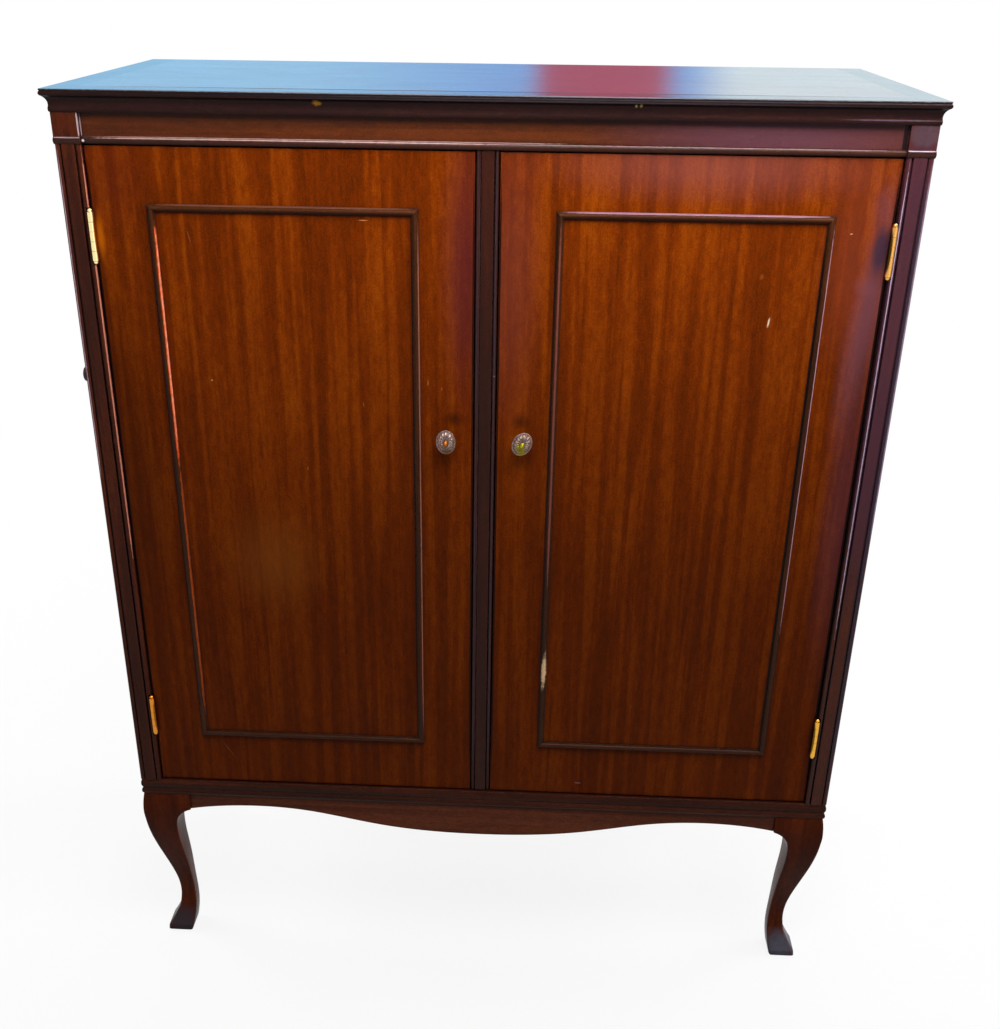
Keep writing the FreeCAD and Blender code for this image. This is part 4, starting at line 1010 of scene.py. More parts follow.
def turned(profile: Profile, segments: int, place: Matrix) -> bmesh.types.BMesh:
    """Solid of revolution about local Z, closed at both ends.

    Args:
        profile: (radius, height) in mm from one end of the axis to the other, both on the axis.
        segments: steps round the axis.
        place: from local to row frame.

    Returns:
        A bmesh with outward normals.
    """
    made = bmesh.new()
    first, last = (made.verts.new((0, 0, height * MM)) for _, height in (profile[0], profile[-1]))
    angles = [2 * math.pi * step / segments for step in range(segments)]
    rings = [
        [made.verts.new((r * MM * math.cos(a), r * MM * math.sin(a), h * MM)) for a in angles]
        for r, h in profile[1:-1]
    ]
    for lower, upper in zip(rings, rings[1:]):
        for i in range(segments):
            j = (i + 1) % segments
            made.faces.new((lower[i], lower[j], upper[j], upper[i]))
    for i in range(segments):
        j = (i + 1) % segments
        made.faces.new((first, rings[0][j], rings[0][i]))
        made.faces.new((last, rings[-1][i], rings[-1][j]))
    bmesh.ops.transform(made, matrix=place, verts=made.verts)
    bmesh.ops.recalc_face_normals(made, faces=made.faces)
    return made


def smooth(points: Profile, steps: int) -> Profile:
    """Catmull-Rom curve through points.

    Args:
        points: the points, in order.
        steps: points on each span.

    Returns:
        The denser list, with both ends.
    """
    ends = [points[0]] + points + [points[-1]]
    out = []
    for a, b, c, d in zip(ends, ends[1:], ends[2:], ends[3:]):
        for k in range(steps):
            t = k / steps
            out.append(tuple(
                0.5 * (2 * q + (r - p) * t + (2 * p - 5 * q + 4 * r - s) * t * t
                       + (3 * q - p - 3 * r + s) * t ** 3)
                for p, q, r, s in zip(a, b, c, d)
            ))
    return out + [points[-1]]


def as_mesh(name: str, source: bmesh.types.BMesh, sharp_from: float,
            finish: bpy.types.Material | None = None) -> bpy.types.Mesh:
    """Ends a bmesh and returns it as a smooth-shaded mesh with its sharp edges kept.

    Args:
        name: the mesh's name.
        source: the bmesh, which is freed.
        sharp_from: angle from which an edge is sharp, degrees.
        finish: its material, if it has one yet.

    Returns:
        The mesh.
    """
    mesh = bpy.data.meshes.new(name)
    source.to_mesh(mesh)
    source.free()
    mesh.shade_smooth()
    mesh.set_sharp_from_angle(angle=math.radians(sharp_from))
    if finish:
        mesh.materials.append(finish)
    return mesh


class Repeater(Graph):
    """A Geometry Nodes tree with named inputs, run on points and turned into a plain mesh."""

    def __init__(self, name: str, sizes: dict[str, float | int | Place]) -> None:
        """Starts the tree.

        Args:
            name: the tree's name.
            sizes: each named input with its value.
        """
        super().__init__(bpy.data.node_groups.new(name, "GeometryNodeTree"))
        face = self.tree.interface
        face.new_socket("Points", in_out="INPUT", socket_type="NodeSocketGeometry")
        kinds = {int: "NodeSocketInt", float: "NodeSocketFloat", tuple: "NodeSocketVector"}
        self.values = {
            face.new_socket(key, in_out="INPUT", socket_type=kinds[type(value)]).identifier: value
            for key, value in sizes.items()
        }
        face.new_socket("Result", in_out="OUTPUT", socket_type="NodeSocketGeometry")
        self.given = self.node("NodeGroupInput")
        self.result = self.node("NodeGroupOutput")

    def size(self, key: str) -> Socket:
        """The socket of a named input."""
        return self.given.outputs[key]

    def moved(self, shape: Socket, height: Feed) -> Socket:
        """A shape moved along local Z."""
        inputs = {"Geometry": shape, "Translation": self.joined(z=height)}
        return self.node("GeometryNodeTransform", inputs).outputs[0]

    def spun(self, angle: Feed) -> Socket:
        """A turn about Z, in radians."""
        inputs = {"Axis": (0.0, 0.0, 1.0), "Angle": angle}
        return self.node("FunctionNodeAxisAngleToRotation", inputs).outputs[0]

    def scatter(self, finish: bpy.types.Material, **inputs: Socket) -> None:
        """Sets a shape on every point, and ends the tree in real geometry with its material.

        Args:
            finish: the material.
            inputs: Points, Instance and, if it is turned, Rotation.
        """
        spread = self.node("GeometryNodeInstanceOnPoints", inputs).outputs[0]
        real = self.node("GeometryNodeRealizeInstances", {0: spread}).outputs[0]
        inputs = {"Geometry": real, "Material": finish}
        self.feed(self.result.inputs[0], self.node("GeometryNodeSetMaterial", inputs).outputs[0])

    def run(self, *places: Place) -> bpy.types.Mesh:
        """Runs the tree on points.

        Args:
            places: where the points are.

        Returns:
            A plain mesh.
        """
        cloud = bpy.data.meshes.new(self.tree.name)
        cloud.from_pydata(places, [], [])
        host = bpy.data.objects.new(self.tree.name, cloud)
        modifier = host.modifiers.new(self.tree.name, "NODES")
        modifier.node_group = self.tree
        for key, value in self.values.items():
            modifier[key] = list(value) if isinstance(value, tuple) else value
        bpy.context.scene.collection.objects.link(host)
        graph = bpy.context.evaluated_depsgraph_get()
        mesh = bpy.data.meshes.new_from_object(
            host.evaluated_get(graph), preserve_all_data_layers=True, depsgraph=graph,
        )
        bpy.data.objects.remove(host)
        bpy.data.meshes.remove(cloud)
        return mesh


@dataclass
class ScrewSet:
    """Slotted screws, all of one kind and facing one way, on one body.

    Attributes:
        name: the piece's name.
        body: the body that they ride on.
        replaced: the node that they stand for.
        finish: their metal, which has the name of the record's material slot.
        places: the middle of each head's face, m.
        facing: the way the heads face.
        seed: of the slots' turns.
        face_radius: radius of the head at its face, m.
        foot_radius: radius of the head where it meets the wood, m.
        head: height of the head, m.
        shank: radius of the shank, m.
        length: face to tip, m.
        slot_width, slot_depth: the driver's slot, m.
    """

    HEAD_SIDES = 28
    SHANK_SIDES = 14
    CUTTER_REACH = 2.4  # length of the slot's cutter over the head's radius
    SHARP_FROM = 30.0

    name: str
    body: Body
    replaced: str
    finish: Metal
    places: list[Place]
    facing: Place
    seed: int
    face_radius: float = 0.0030
    foot_radius: float = 0.0015
    head: float = 0.0016
    shank: float = 0.0015
    length: float = 0.016
    slot_width: float = 0.0008
    slot_depth: float = 0.0006

    def mesh(self) -> bpy.types.Mesh:
        """Makes one screw by Geometry Nodes and sets it on every point.

        Returns:
            The screws' mesh.
        """
        tree = Repeater(self.name, {
            "Face Radius": self.face_radius, "Foot Radius": self.foot_radius,
            "Head Height": self.head, "Shank Radius": self.shank, "Length": self.length,
            "Slot Width": self.slot_width, "Slot Depth": self.slot_depth,
            "Facing": self.facing, "Seed": self.seed,
        })
        height = tree.size("Head Height")
        half_head = tree.times(height, 0.5)
        radii = tree.size("Face Radius"), tree.size("Foot Radius")
        cone = tree.node("GeometryNodeMeshCone", {
            "Vertices": self.HEAD_SIDES, "Radius Top": radii[0], "Radius Bottom": radii[1],
            "Depth": height,
        })
        head = tree.moved(cone.outputs["Mesh"], tree.times(height, -1.0))
        long = tree.math("SUBTRACT", tree.size("Length"), half_head)
        rod = tree.node("GeometryNodeMeshCylinder", {
            "Vertices": self.SHANK_SIDES, "Radius": tree.size("Shank Radius"), "Depth": long,
        })
        middle = tree.scaled(long, 0.5, half_head)
        shank = tree.moved(rod.outputs["Mesh"], tree.times(middle, -1.0))
        reach = tree.times(tree.math("MAXIMUM", *radii), self.CUTTER_REACH)
        deep = tree.times(tree.size("Slot Depth"), 2.0)
        cutter = tree.node("GeometryNodeMeshCube", {
            "Size": tree.joined(reach, tree.size("Slot Width"), deep),
        })
        cut = tree.node("GeometryNodeMeshBoolean", {
            "Mesh 1": head, "Mesh 2": cutter.outputs["Mesh"],
        }, operation="DIFFERENCE", solver="EXACT")
        whole = tree.node("GeometryNodeJoinGeometry", {0: cut.outputs["Mesh"]})
        tree.feed(whole.inputs[0], shank)
        aim = tree.node("FunctionNodeAlignRotationToVector", {"Vector": tree.size("Facing")},
                        axis="Z")
        chance = tree.node("FunctionNodeRandomValue", {
            2: 0.0, 3: math.pi, "Seed": tree.size("Seed"),
        }, data_type="FLOAT")
        turn = tree.node("FunctionNodeRotateRotation", {
            "Rotation": aim.outputs[0], "Rotate By": tree.spun(chance.outputs[1]),
        }, rotation_space="LOCAL")
        tree.scatter(self.finish.material(), Points=tree.size("Points"), Instance=whole.outputs[0],
                     Rotation=turn.outputs[0])
        return tree.run(*self.places)

    def build(self) -> bpy.types.Object:
        """Makes the screws.

        Returns:
            The finished piece.
        """
        mesh = self.mesh()
        mesh.set_sharp_from_angle(angle=math.radians(self.SHARP_FROM))
        mesh.name = self.name
        return finished(mesh, self.body, self.finish.name, self.replaced)


# ------------------------------------------------------------------ sub-assemblies
@dataclass
class Carcase:
    """Posts, mullion, frieze, sides, back and top rails.

    Attributes:
        back_face: Y of the back panel's outer face, m.
        back_lap: X of the outer back screws, m.
        back_heights: heights of the back screws' rows, m.
        back_head: height of their heads, m.
    """

    frame: dict
    back_face: float = 0.232
    back_lap: float = 0.473
    back_heights: tuple[float, ...] = (0.335, 0.47875, 0.6475, 0.820, 0.9925, 1.141)
    back_head: float = 0.002

    def build(self) -> None:
        """Dresses the nodes that keep their shape, and makes the round-headed back screws."""
        frame = self.frame
        paint(frame, MULLION_MAHOGANY.material(Grain.UPRIGHT), "centre_mullion")
        paint(frame, FRIEZE_MAHOGANY.material(Grain.ACROSS), "frieze_rail")
        paint(frame, BEAD_MAHOGANY.material(Grain.ACROSS), "frieze_bead", "post_beads")
        for side in Side:
            paint(frame, POST_WOODS[side].material(Grain.UPRIGHT), f"front_post_{side.word}")
        paint(frame, POLISHED_MAHOGANY.material(Grain.UPRIGHT), *both("rear_post"))
        paint(frame, POLISHED_MAHOGANY.material(Grain.DEPTH), *both("side_top_rail"))
        paint(frame, SIDE_MAHOGANY.material(Grain.UPRIGHT), *both("side_panel"))
        paint(frame, INNER_WOOD.material(Grain.ACROSS), "back_top_rail")
        paint(frame, PLYWOOD.material(Grain.UPRIGHT), "back_panel")
        paint(frame, DARK_WOOD.material(Grain.DEPTH), "side_button")
        y = self.back_face + self.back_head
        columns = (-self.back_lap, 0.0, self.back_lap)
        places = [(x, y, z) for x in columns for z in self.back_heights]
        ScrewSet(
            "back_panel_round_screws", Body.CABINET, "back_panel_screws", STEEL_SCREWS, places,
            (0.0, 1.0, 0.0), 11, face_radius=0.0016, foot_radius=0.0035, head=self.back_head,
            length=0.020,
        ).build()


@dataclass
class Top:
    """Top panel and the cornice moulding round it.

    Attributes:
    """

    frame: dict

    def build(self) -> None:
        """Dresses the panel and the three mouldings."""
        paint(self.frame, TOP_MAHOGANY.material(Grain.ACROSS), "top_panel")
        paint(self.frame, CORNICE_MAHOGANY.material(Grain.ACROSS), "cornice_front")
        paint(self.frame, CORNICE_MAHOGANY.material(Grain.DEPTH), *both("cornice"))


@dataclass
class Door:
    """One door with its raised moulding.

    Attributes:
        side: which door.
    """

    frame: dict
    side: Side

    def build(self) -> None:
        """Dresses the board and its mitred strips."""
        word, strip = self.side.word, STRIP_WOODS[self.side]
        paint(self.frame, DOOR_WOODS[self.side].material(Grain.UPRIGHT), f"door_{word}")
        paint(self.frame, strip.material(Grain.UPRIGHT), f"door_moulding_uprights_{word}")
        paint(self.frame, strip.material(Grain.ACROSS), f"door_moulding_rails_{word}")


@dataclass
class HingeSet:
    """Butt hinges of both doors: leaves, pins and countersunk screws.

    Attributes:
        axis_x: X of the pins, m.
        gap: door to post, m.
        screw_y: Y of the screws, m.
        heights: middles of the hinges, m.
        spacing: between the screws of a leaf, m.
    """

    DOOR_SEED = 21
    POST_SEED = 31

    frame: dict
    axis_x: float = 0.46825
    gap: float = 0.0015
    screw_y: float = -0.2045
    heights: tuple[float, float] = (0.4075, 1.0775)
    spacing: float = 0.019

    def screws(self, name: str, side: Side, onto: int, seed: int) -> ScrewSet:
        """Screws of one side, in the door or in the post.

        Args:
            name: the set's name.
            side: which side of the cabinet.
            onto: 1 for the post's leaves, -1 for the door's.
            seed: of the slots' turns.

        Returns:
            The set, not yet built.
        """
        x = side.sign * (self.axis_x + onto * self.gap / 2)
        heights = [h + k * self.spacing for h in self.heights for k in (-1, 0, 1)]
        return ScrewSet(
            name, side.door, f"hinge_door_screws_{side.word}", BRASS_SCREWS,
            [(x, self.screw_y, z) for z in heights], (-float(onto * side.sign), 0.0, 0.0), seed,
        )

    def build(self) -> None:
        """Dresses the leaves and pins, and makes the screws of each body."""
        paint(self.frame, POLISHED_BRASS.material(), "hinge_post_leaves", "hinge_pins",
              *both("hinge_door_leaves"))
        joined = bmesh.new()
        for number, side in enumerate(Side):
            name = f"hinge_countersunk_screws_door_{side.word}"
            self.screws(name, side, -1, self.DOOR_SEED + side.sign).build()
            one = self.screws(f"post_screws_{number}", side, 1, self.POST_SEED + number).mesh()
            joined.from_mesh(one)
            bpy.data.meshes.remove(one)
        mesh = as_mesh("hinge_countersunk_screws_posts", joined, ScrewSet.SHARP_FROM,
                       BRASS_SCREWS.material())
        finished(mesh, Body.CABINET, BRASS_SCREWS.name, "hinge_post_screws")


@dataclass
class Knob:
    """Oval embossed knob: round stem, oval head with rings of leaves, a beaded rim and a bud.

    Sizes of the profiles are millimetres: distance from the spindle's axis, and out from the door.

    Attributes:
        LEAF_GRID: points along and across a leaf's sheet.
        LEAF_ENDS, LEAF_SWELL: powers that set where a leaf is widest and how full it is.
        RIB_NARROW: how many midribs the half leaf would hold.
        DOME_FALL: power of the dome's fall.
        side: which door it is on.
        lean: how far the oval's top is turned towards the hinges, degrees.
        spindle_x, height: where its spindle leaves the door, m.
        longer: the oval's length over its width.
        leaves: leaves in each ring.
        beads: beads on the rim.
        stem, head, bud: their profiles.
    """

    LEAF_GRID = (12, 9)
    LEAF_ENDS, LEAF_SWELL = 1.15, 0.6
    RIB_NARROW = 4.0
    DOME_FALL = 1.6

    frame: dict
    side: Side
    lean: float
    spindle_x: float = 0.0477
    height: float = 0.8355
    longer: float = 15.9 / 12.5
    leaves: int = 16
    beads: int = 56
    stem: Profile = field(default_factory=lambda: [
        (0.0, -24.5), (3.7, -24.5), (4.5, -23.7), (4.5, -23.0), (3.0, -23.0), (3.0, 0.3),
        (7.7, 0.3), (8.0, 0.6), (8.0, 1.6), (7.4, 2.0), (6.6, 2.1), (6.3, 2.5), (5.3, 2.8),
        (4.7, 4.4), (4.4, 7.0), (4.4, 9.8), (4.7, 12.4), (5.0, 14.5), (5.0, 15.3), (0.0, 15.3),
    ])
    head: Profile = field(default_factory=lambda: [
        (5.6, 14.52), (6.0, 14.6), (8.6, 15.25), (11.0, 16.05), (12.0, 16.6), (12.45, 17.4),
        (12.3, 18.2), (11.7, 18.7), (11.0, 18.8), (10.3, 19.0), (9.0, 20.3), (7.4, 21.5),
        (5.4, 22.35), (3.4, 22.7),
    ])
    bud: Profile = field(default_factory=lambda: [
        (0.0, 22.2), (3.05, 22.2), (3.15, 23.0), (2.95, 23.6), (2.5, 24.0), (2.35, 24.5),
        (1.9, 25.3), (1.1, 25.8), (0.5, 25.95), (0.0, 26.0),
    ])

    def place(self) -> Matrix:
        """From the knob's own frame, Z out from the door, to the row frame."""
        out = Matrix(((1, 0, 0), (0, 0, -1), (0, 1, 0))).to_4x4()
        return Matrix.Translation((self.side.sign * self.spindle_x, DOOR_FACE, self.height)) @ out

    def oval(self) -> Matrix:
        """From a round head to the leaning oval one, in the row frame."""
        lean = Matrix.Rotation(math.radians(-self.side.sign * self.lean), 4, "Z")
        return self.place() @ lean @ Matrix.Diagonal((1.0, self.longer, 1.0, 1.0))

    def leaf_ring(self, name: str, *sizes: float) -> bpy.types.Mesh:
        """A ring of pointed leaves with midribs, laid on the dome.

        Args:
            name: the tree's name.
            sizes: distances from the axis of the leaves' inner and outer ends, heights of the
                dome there, a leaf's width and its middle's rise, all in metres; then the turn of
                the first leaf in radians.

        Returns:
            The ring in the round head's frame.
        """
        keys = ("Start", "End", "Foot", "Tip", "Width", "Rise", "Offset")
        tree = Repeater(name, {**dict(zip(keys, sizes)), "Leaves": self.leaves})
        start, end, foot, tip, width, rise, offset = (tree.size(key) for key in keys)
        sheet = tree.node("GeometryNodeMeshGrid", {
            "Size X": 1.0, "Size Y": 1.0, "Vertices X": self.LEAF_GRID[0],
            "Vertices Y": self.LEAF_GRID[1],
        })
        u, v = tree.parts(tree.node("GeometryNodeInputPosition").outputs[0])[:2]
        along = tree.math("ADD", u, 0.5)
        across = tree.times(v, 2.0)
        swell = tree.times(tree.math("POWER", along, self.LEAF_ENDS), math.pi)
        swell = tree.math("MAXIMUM", tree.math("SINE", swell), 0.0)
        swell = tree.math("POWER", swell, self.LEAF_SWELL)
        edge = tree.math("ABSOLUTE", across)
        cup = tree.math("SUBTRACT", 1.0, tree.math("POWER", edge, 2.0))
        flank = tree.math("MINIMUM", tree.times(edge, self.RIB_NARROW), 1.0)
        rib = tree.math("SUBTRACT", 1.0, flank)
        fall = tree.math("POWER", along, self.DOME_FALL)
        dome = tree.scaled(fall, tree.math("SUBTRACT", tip, foot), foot)
        bent = tree.node("GeometryNodeSetPosition", {
            "Geometry": sheet.outputs["Mesh"],
            "Position": tree.joined(
                tree.scaled(along, tree.math("SUBTRACT", end, start), start),
                tree.times(tree.times(across, swell), tree.times(width, 0.5)),
                tree.scaled(tree.times(tree.scaled(rib, 0.5, cup), rise), swell, dome),
            ),
        })
        ring = tree.node("GeometryNodePoints", {"Count": tree.size("Leaves")})
        step = tree.math("DIVIDE", 2 * math.pi, tree.size("Leaves"))
        index = tree.node("GeometryNodeInputIndex").outputs[0]
        tree.scatter(WORN_BRASS.material(), Points=ring.outputs[0], Instance=bent.outputs[0],
                     Rotation=tree.spun(tree.scaled(index, step, offset)))
        return tree.run((0.0, 0.0, 0.0))

    def bead_ring(self) -> bpy.types.Mesh:
        """Small beads round the rim.

        Returns:
            The beads in the round head's frame.
        """
        tree = Repeater("knob_rim_beads", {
            "Ring Radius": 0.01165, "Height": 0.01835, "Bead Radius": 0.00058, "Beads": self.beads,
        })
        ring = tree.node("GeometryNodeMeshCircle", {
            "Vertices": tree.size("Beads"), "Radius": tree.size("Ring Radius"),
        })
        bead = tree.node("GeometryNodeMeshIcoSphere", {
            "Radius": tree.size("Bead Radius"), "Subdivisions": 2,
        })
        tree.scatter(WORN_BRASS.material(), Points=tree.moved(ring.outputs[0], tree.size("Height")),
                     Instance=bead.outputs[0])
        return tree.run((0.0, 0.0, 0.0))

    def build(self) -> None:
        """Makes the knob and its bud, and dresses the latch tongue."""
        word = self.side.word
        whole = turned(self.stem, 48, self.place())
        outline = [(0.0, self.head[0][1])] + smooth(self.head, 4) + [(0.0, self.head[-1][1])]
        half_step = math.pi / self.leaves
        for part in (
            as_mesh("knob_head", turned(outline, 80, Matrix()), 35.0),
            self.leaf_ring(
                "knob_outer_leaves", 0.0056, 0.0110, 0.0219, 0.0186, 0.0039, 0.00085, 0.0,
            ),
            self.leaf_ring(
                "knob_inner_leaves", 0.0031, 0.0080, 0.0224, 0.0211, 0.0022, 0.00085, half_step,
            ),
            self.bead_ring(),
        ):
            part.transform(self.oval())
            whole.from_mesh(part)
            bpy.data.meshes.remove(part)
        knob = as_mesh(f"embossed_knob_{word}", whole, 40.0, WORN_BRASS.material())
        finished(knob, self.side.knob, WORN_BRASS.name, f"knob_{word}")
        bud = as_mesh(f"knob_bud_{word}", turned(self.bud, 40, self.oval()), 50.0,
                      BUD_BRASSES[self.side].material())
        finished(bud, self.side.knob, WORN_BRASS.name)
        paint(self.frame, DULL_BRASS.material(), f"latch_tongue_{word}")


@dataclass
class Leg:
    """A cabriole leg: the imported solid's own curve, with its arrises rounded.

    Attributes:
        side: left or right.
        front: True for a front leg.
        front_face, back_face, outer_face: the faces that distances in are taken from, m.
        halfway: (height, distance in) that parts the outer curve from the inner one, m.
        arris, joint_arris: radius of its edges in the free part and at the joints, m.
        square: height above which it stays square for the joints, m.
        ease_height: how far below that the radius has grown, m.
        flare: how far the toe spreads at the floor, m.
        flare_height: height below which it spreads, m.
        flare_power: how quickly it spreads.
        rings: sections from foot to top.
        least_step: least height between two sections, m.
        corner_steps: points on a corner of a section.
        edge_width: how far off a mitre a point of an upright edge may be, m.
    """

    frame: dict
    side: Side
    front: bool
    front_face: float = -0.218
    back_face: float = 0.232
    outer_face: float = 0.500
    halfway: Profile = field(default_factory=lambda: [
        (0.0, 0.031), (0.062, 0.040), (0.112, 0.036), (0.182, 0.026), (0.235, 0.025),
        (0.270, 0.030),
    ])
    arris: float = 0.0034
    joint_arris: float = 0.0008
    square: float = 0.240
    ease_height: float = 0.020
    flare: float = 0.005
    flare_height: float = 0.034
    flare_power: float = 0.7
    rings: int = 96
    least_step: float = 0.0008
    corner_steps: int = 6
    edge_width: float = 2e-5

    @property
    def node(self) -> str:
        """Name of the solid that it follows."""
        return f"leg_{'front' if self.front else 'rear'}_{self.side.word}"

    def curves(self) -> tuple[np.ndarray, np.ndarray]:
        """Outer and inner curve, read from the solid's upright edges.

        Returns:
            Two arrays of (height, distance in), in order of height.
        """
        mesh = self.frame["nodes"][self.node].data
        points = np.zeros(len(mesh.vertices) * 3)
        mesh.vertices.foreach_get("co", points)
        points = points.reshape(-1, 3)
        inward_x = self.outer_face - np.abs(points[:, 0])
        inward_y = points[:, 1] - self.front_face if self.front else self.back_face - points[:, 1]
        on_edge = np.abs(inward_x - inward_y) < self.edge_width
        pairs = np.round(np.stack([points[on_edge, 2], inward_x[on_edge]], 1), 6)
        pairs = np.unique(pairs, axis=0)
        inner = pairs[:, 1] > np.interp(pairs[:, 0], *np.array(self.halfway).T)
        outer = pairs[~inner]
        low = np.clip(1.0 - outer[:, 0] / self.flare_height, 0.0, 1.0)
        outer[:, 1] -= self.flare * low ** self.flare_power
        return outer, pairs[inner]

    def radius(self, height: float) -> float:
        """Radius of the arrises at one height."""
        share = min(max((self.square - height) / self.ease_height, 0.0), 1.0)
        return self.joint_arris + (self.arris - self.joint_arris) * share * share * (3 - 2 * share)

    def ring(self, near: float, far: float, radius: float) -> Profile:
        """Rounded square section.

        Args:
            near, far: distances in of its two faces, m.
            radius: radius of its corners, m.

        Returns:
            The section's points, in order round it.
        """
        points = []
        for quarter, (a, b) in enumerate(((far, far), (near, far), (near, near), (far, near))):
            middle_a, middle_b = (q + (radius if q == near else -radius) for q in (a, b))
            for k in range(self.corner_steps):
                angle = math.pi / 2 * (quarter + k / (self.corner_steps - 1))
                points.append((middle_a + radius * math.cos(angle),
                               middle_b + radius * math.sin(angle)))
        return points

    def heights(self, *curves: np.ndarray) -> list[float]:
        """Heights of the sections: even steps and the curves' own corners.

        Args:
            curves: arrays of (height, distance in).

        Returns:
            The heights, from foot to top.
        """
        top = max(curve[-1, 0] for curve in curves)
        breaks = np.concatenate([[0.0, 0.002], *(curve[:, 0] for curve in curves)])
        steps = np.linspace(0.0, top, self.rings)
        all_heights = np.unique(np.round(np.concatenate([steps, breaks]), 5))
        kept = [all_heights[0]]
        for height in all_heights[1:]:
            if height - kept[-1] > self.least_step:
                kept.append(height)
        return kept

    def build(self) -> bpy.types.Object:
        """Lofts the sections.

        Returns:
            The piece.
        """
        curves = self.curves()
        loft = bmesh.new()
        rings = []
        for height in self.heights(*curves):
            near, far = (float(np.interp(height, curve[:, 0], curve[:, 1])) for curve in curves)
            rings.append([])
            for a, b in self.ring(near, far, self.radius(height)):
                x = self.side.sign * (self.outer_face - a)
                y = self.front_face + b if self.front else self.back_face - b
                rings[-1].append(loft.verts.new((x, y, height)))
        for lower, upper in zip(rings, rings[1:]):
            for i, vert in enumerate(lower):
                j = (i + 1) % len(lower)
                loft.faces.new((vert, lower[j], upper[j], upper[i]))
        loft.faces.new(rings[0])
        loft.faces.new(rings[-1])
        bmesh.ops.recalc_face_normals(loft, faces=loft.faces)
        wood = LEG_MAHOGANY.material(Grain.UPRIGHT)
        mesh = as_mesh(f"cabriole_{self.node}", loft, 40.0, wood)
        return finished(mesh, Body.CABINET, "polished_mahogany", self.node)


@dataclass
class Base:
    """Base rails, aprons, legs and glue blocks.

    Attributes:
    """

    frame: dict

    def build(self) -> None:
        """Dresses the rails and aprons, and makes the four legs."""
        for name, wood in (("base_rail", BASE_MAHOGANY), ("apron", APRON_MAHOGANY)):
            paint(self.frame, wood.material(Grain.ACROSS), f"{name}_front", f"{name}_back")
            paint(self.frame, wood.material(Grain.DEPTH), *both(name))
        for side in Side:
            Leg(self.frame, side, True).build()
            Leg(self.frame, side, False).build()
        paint(self.frame, INNER_WOOD.material(Grain.ACROSS), "glue_blocks")


@dataclass
class Interior:
    """Boards, shelves, cleats, stops and record dividers.

    Attributes:
    """

    frame: dict

    def build(self) -> None:
        """Dresses the inside."""
        paint(self.frame, INNER_WOOD.material(Grain.ACROSS), "bottom_board", "door_stops",
              *both("shelf_lower"), *both("shelf_upper"))
        paint(self.frame, INNER_WOOD.material(Grain.UPRIGHT), "centre_partition")
        paint(self.frame, INNER_WOOD.material(Grain.DEPTH), "shelf_cleats")
        paint(self.frame, PLYWOOD.material(Grain.UPRIGHT), *both("record_dividers"))


# ------------------------------------------------------------------ studio
def placed(name: str, data: bpy.types.ID) -> bpy.types.Object:
    """A new object in the scene.

    Args:
        name: its name.
        data: its mesh, lamp or camera.

    Returns:
        The object.
    """
    made = bpy.data.objects.new(name, data)
    bpy.context.scene.collection.objects.link(made)
    return made


@dataclass
class Lamp:
    """A soft rectangular lamp.

    Attributes:
        name: its name.
        place: its middle, m.
        target: what it points at, m.
        size: width and height, m.
        power: watts.
        colour: its light.
        glossy: whether polish mirrors it.
    """

    name: str
    place: Place
    target: Place
    size: tuple[float, float]
    power: float
    colour: Colour = (1.0, 1.0, 1.0)
    glossy: bool = True

    def build(self) -> None:
        """Puts the lamp into the scene."""
        data = bpy.data.lights.new(self.name, "AREA")
        data.shape = "RECTANGLE"
        data.size, data.size_y = self.size
        data.energy = self.power
        data.color = self.colour
        made = placed(self.name, data)
        made.visible_glossy = self.glossy
        made.location = self.place
        aim = Vector(self.target) - Vector(self.place)
        made.rotation_euler = aim.to_track_quat("-Z", "Y").to_euler()


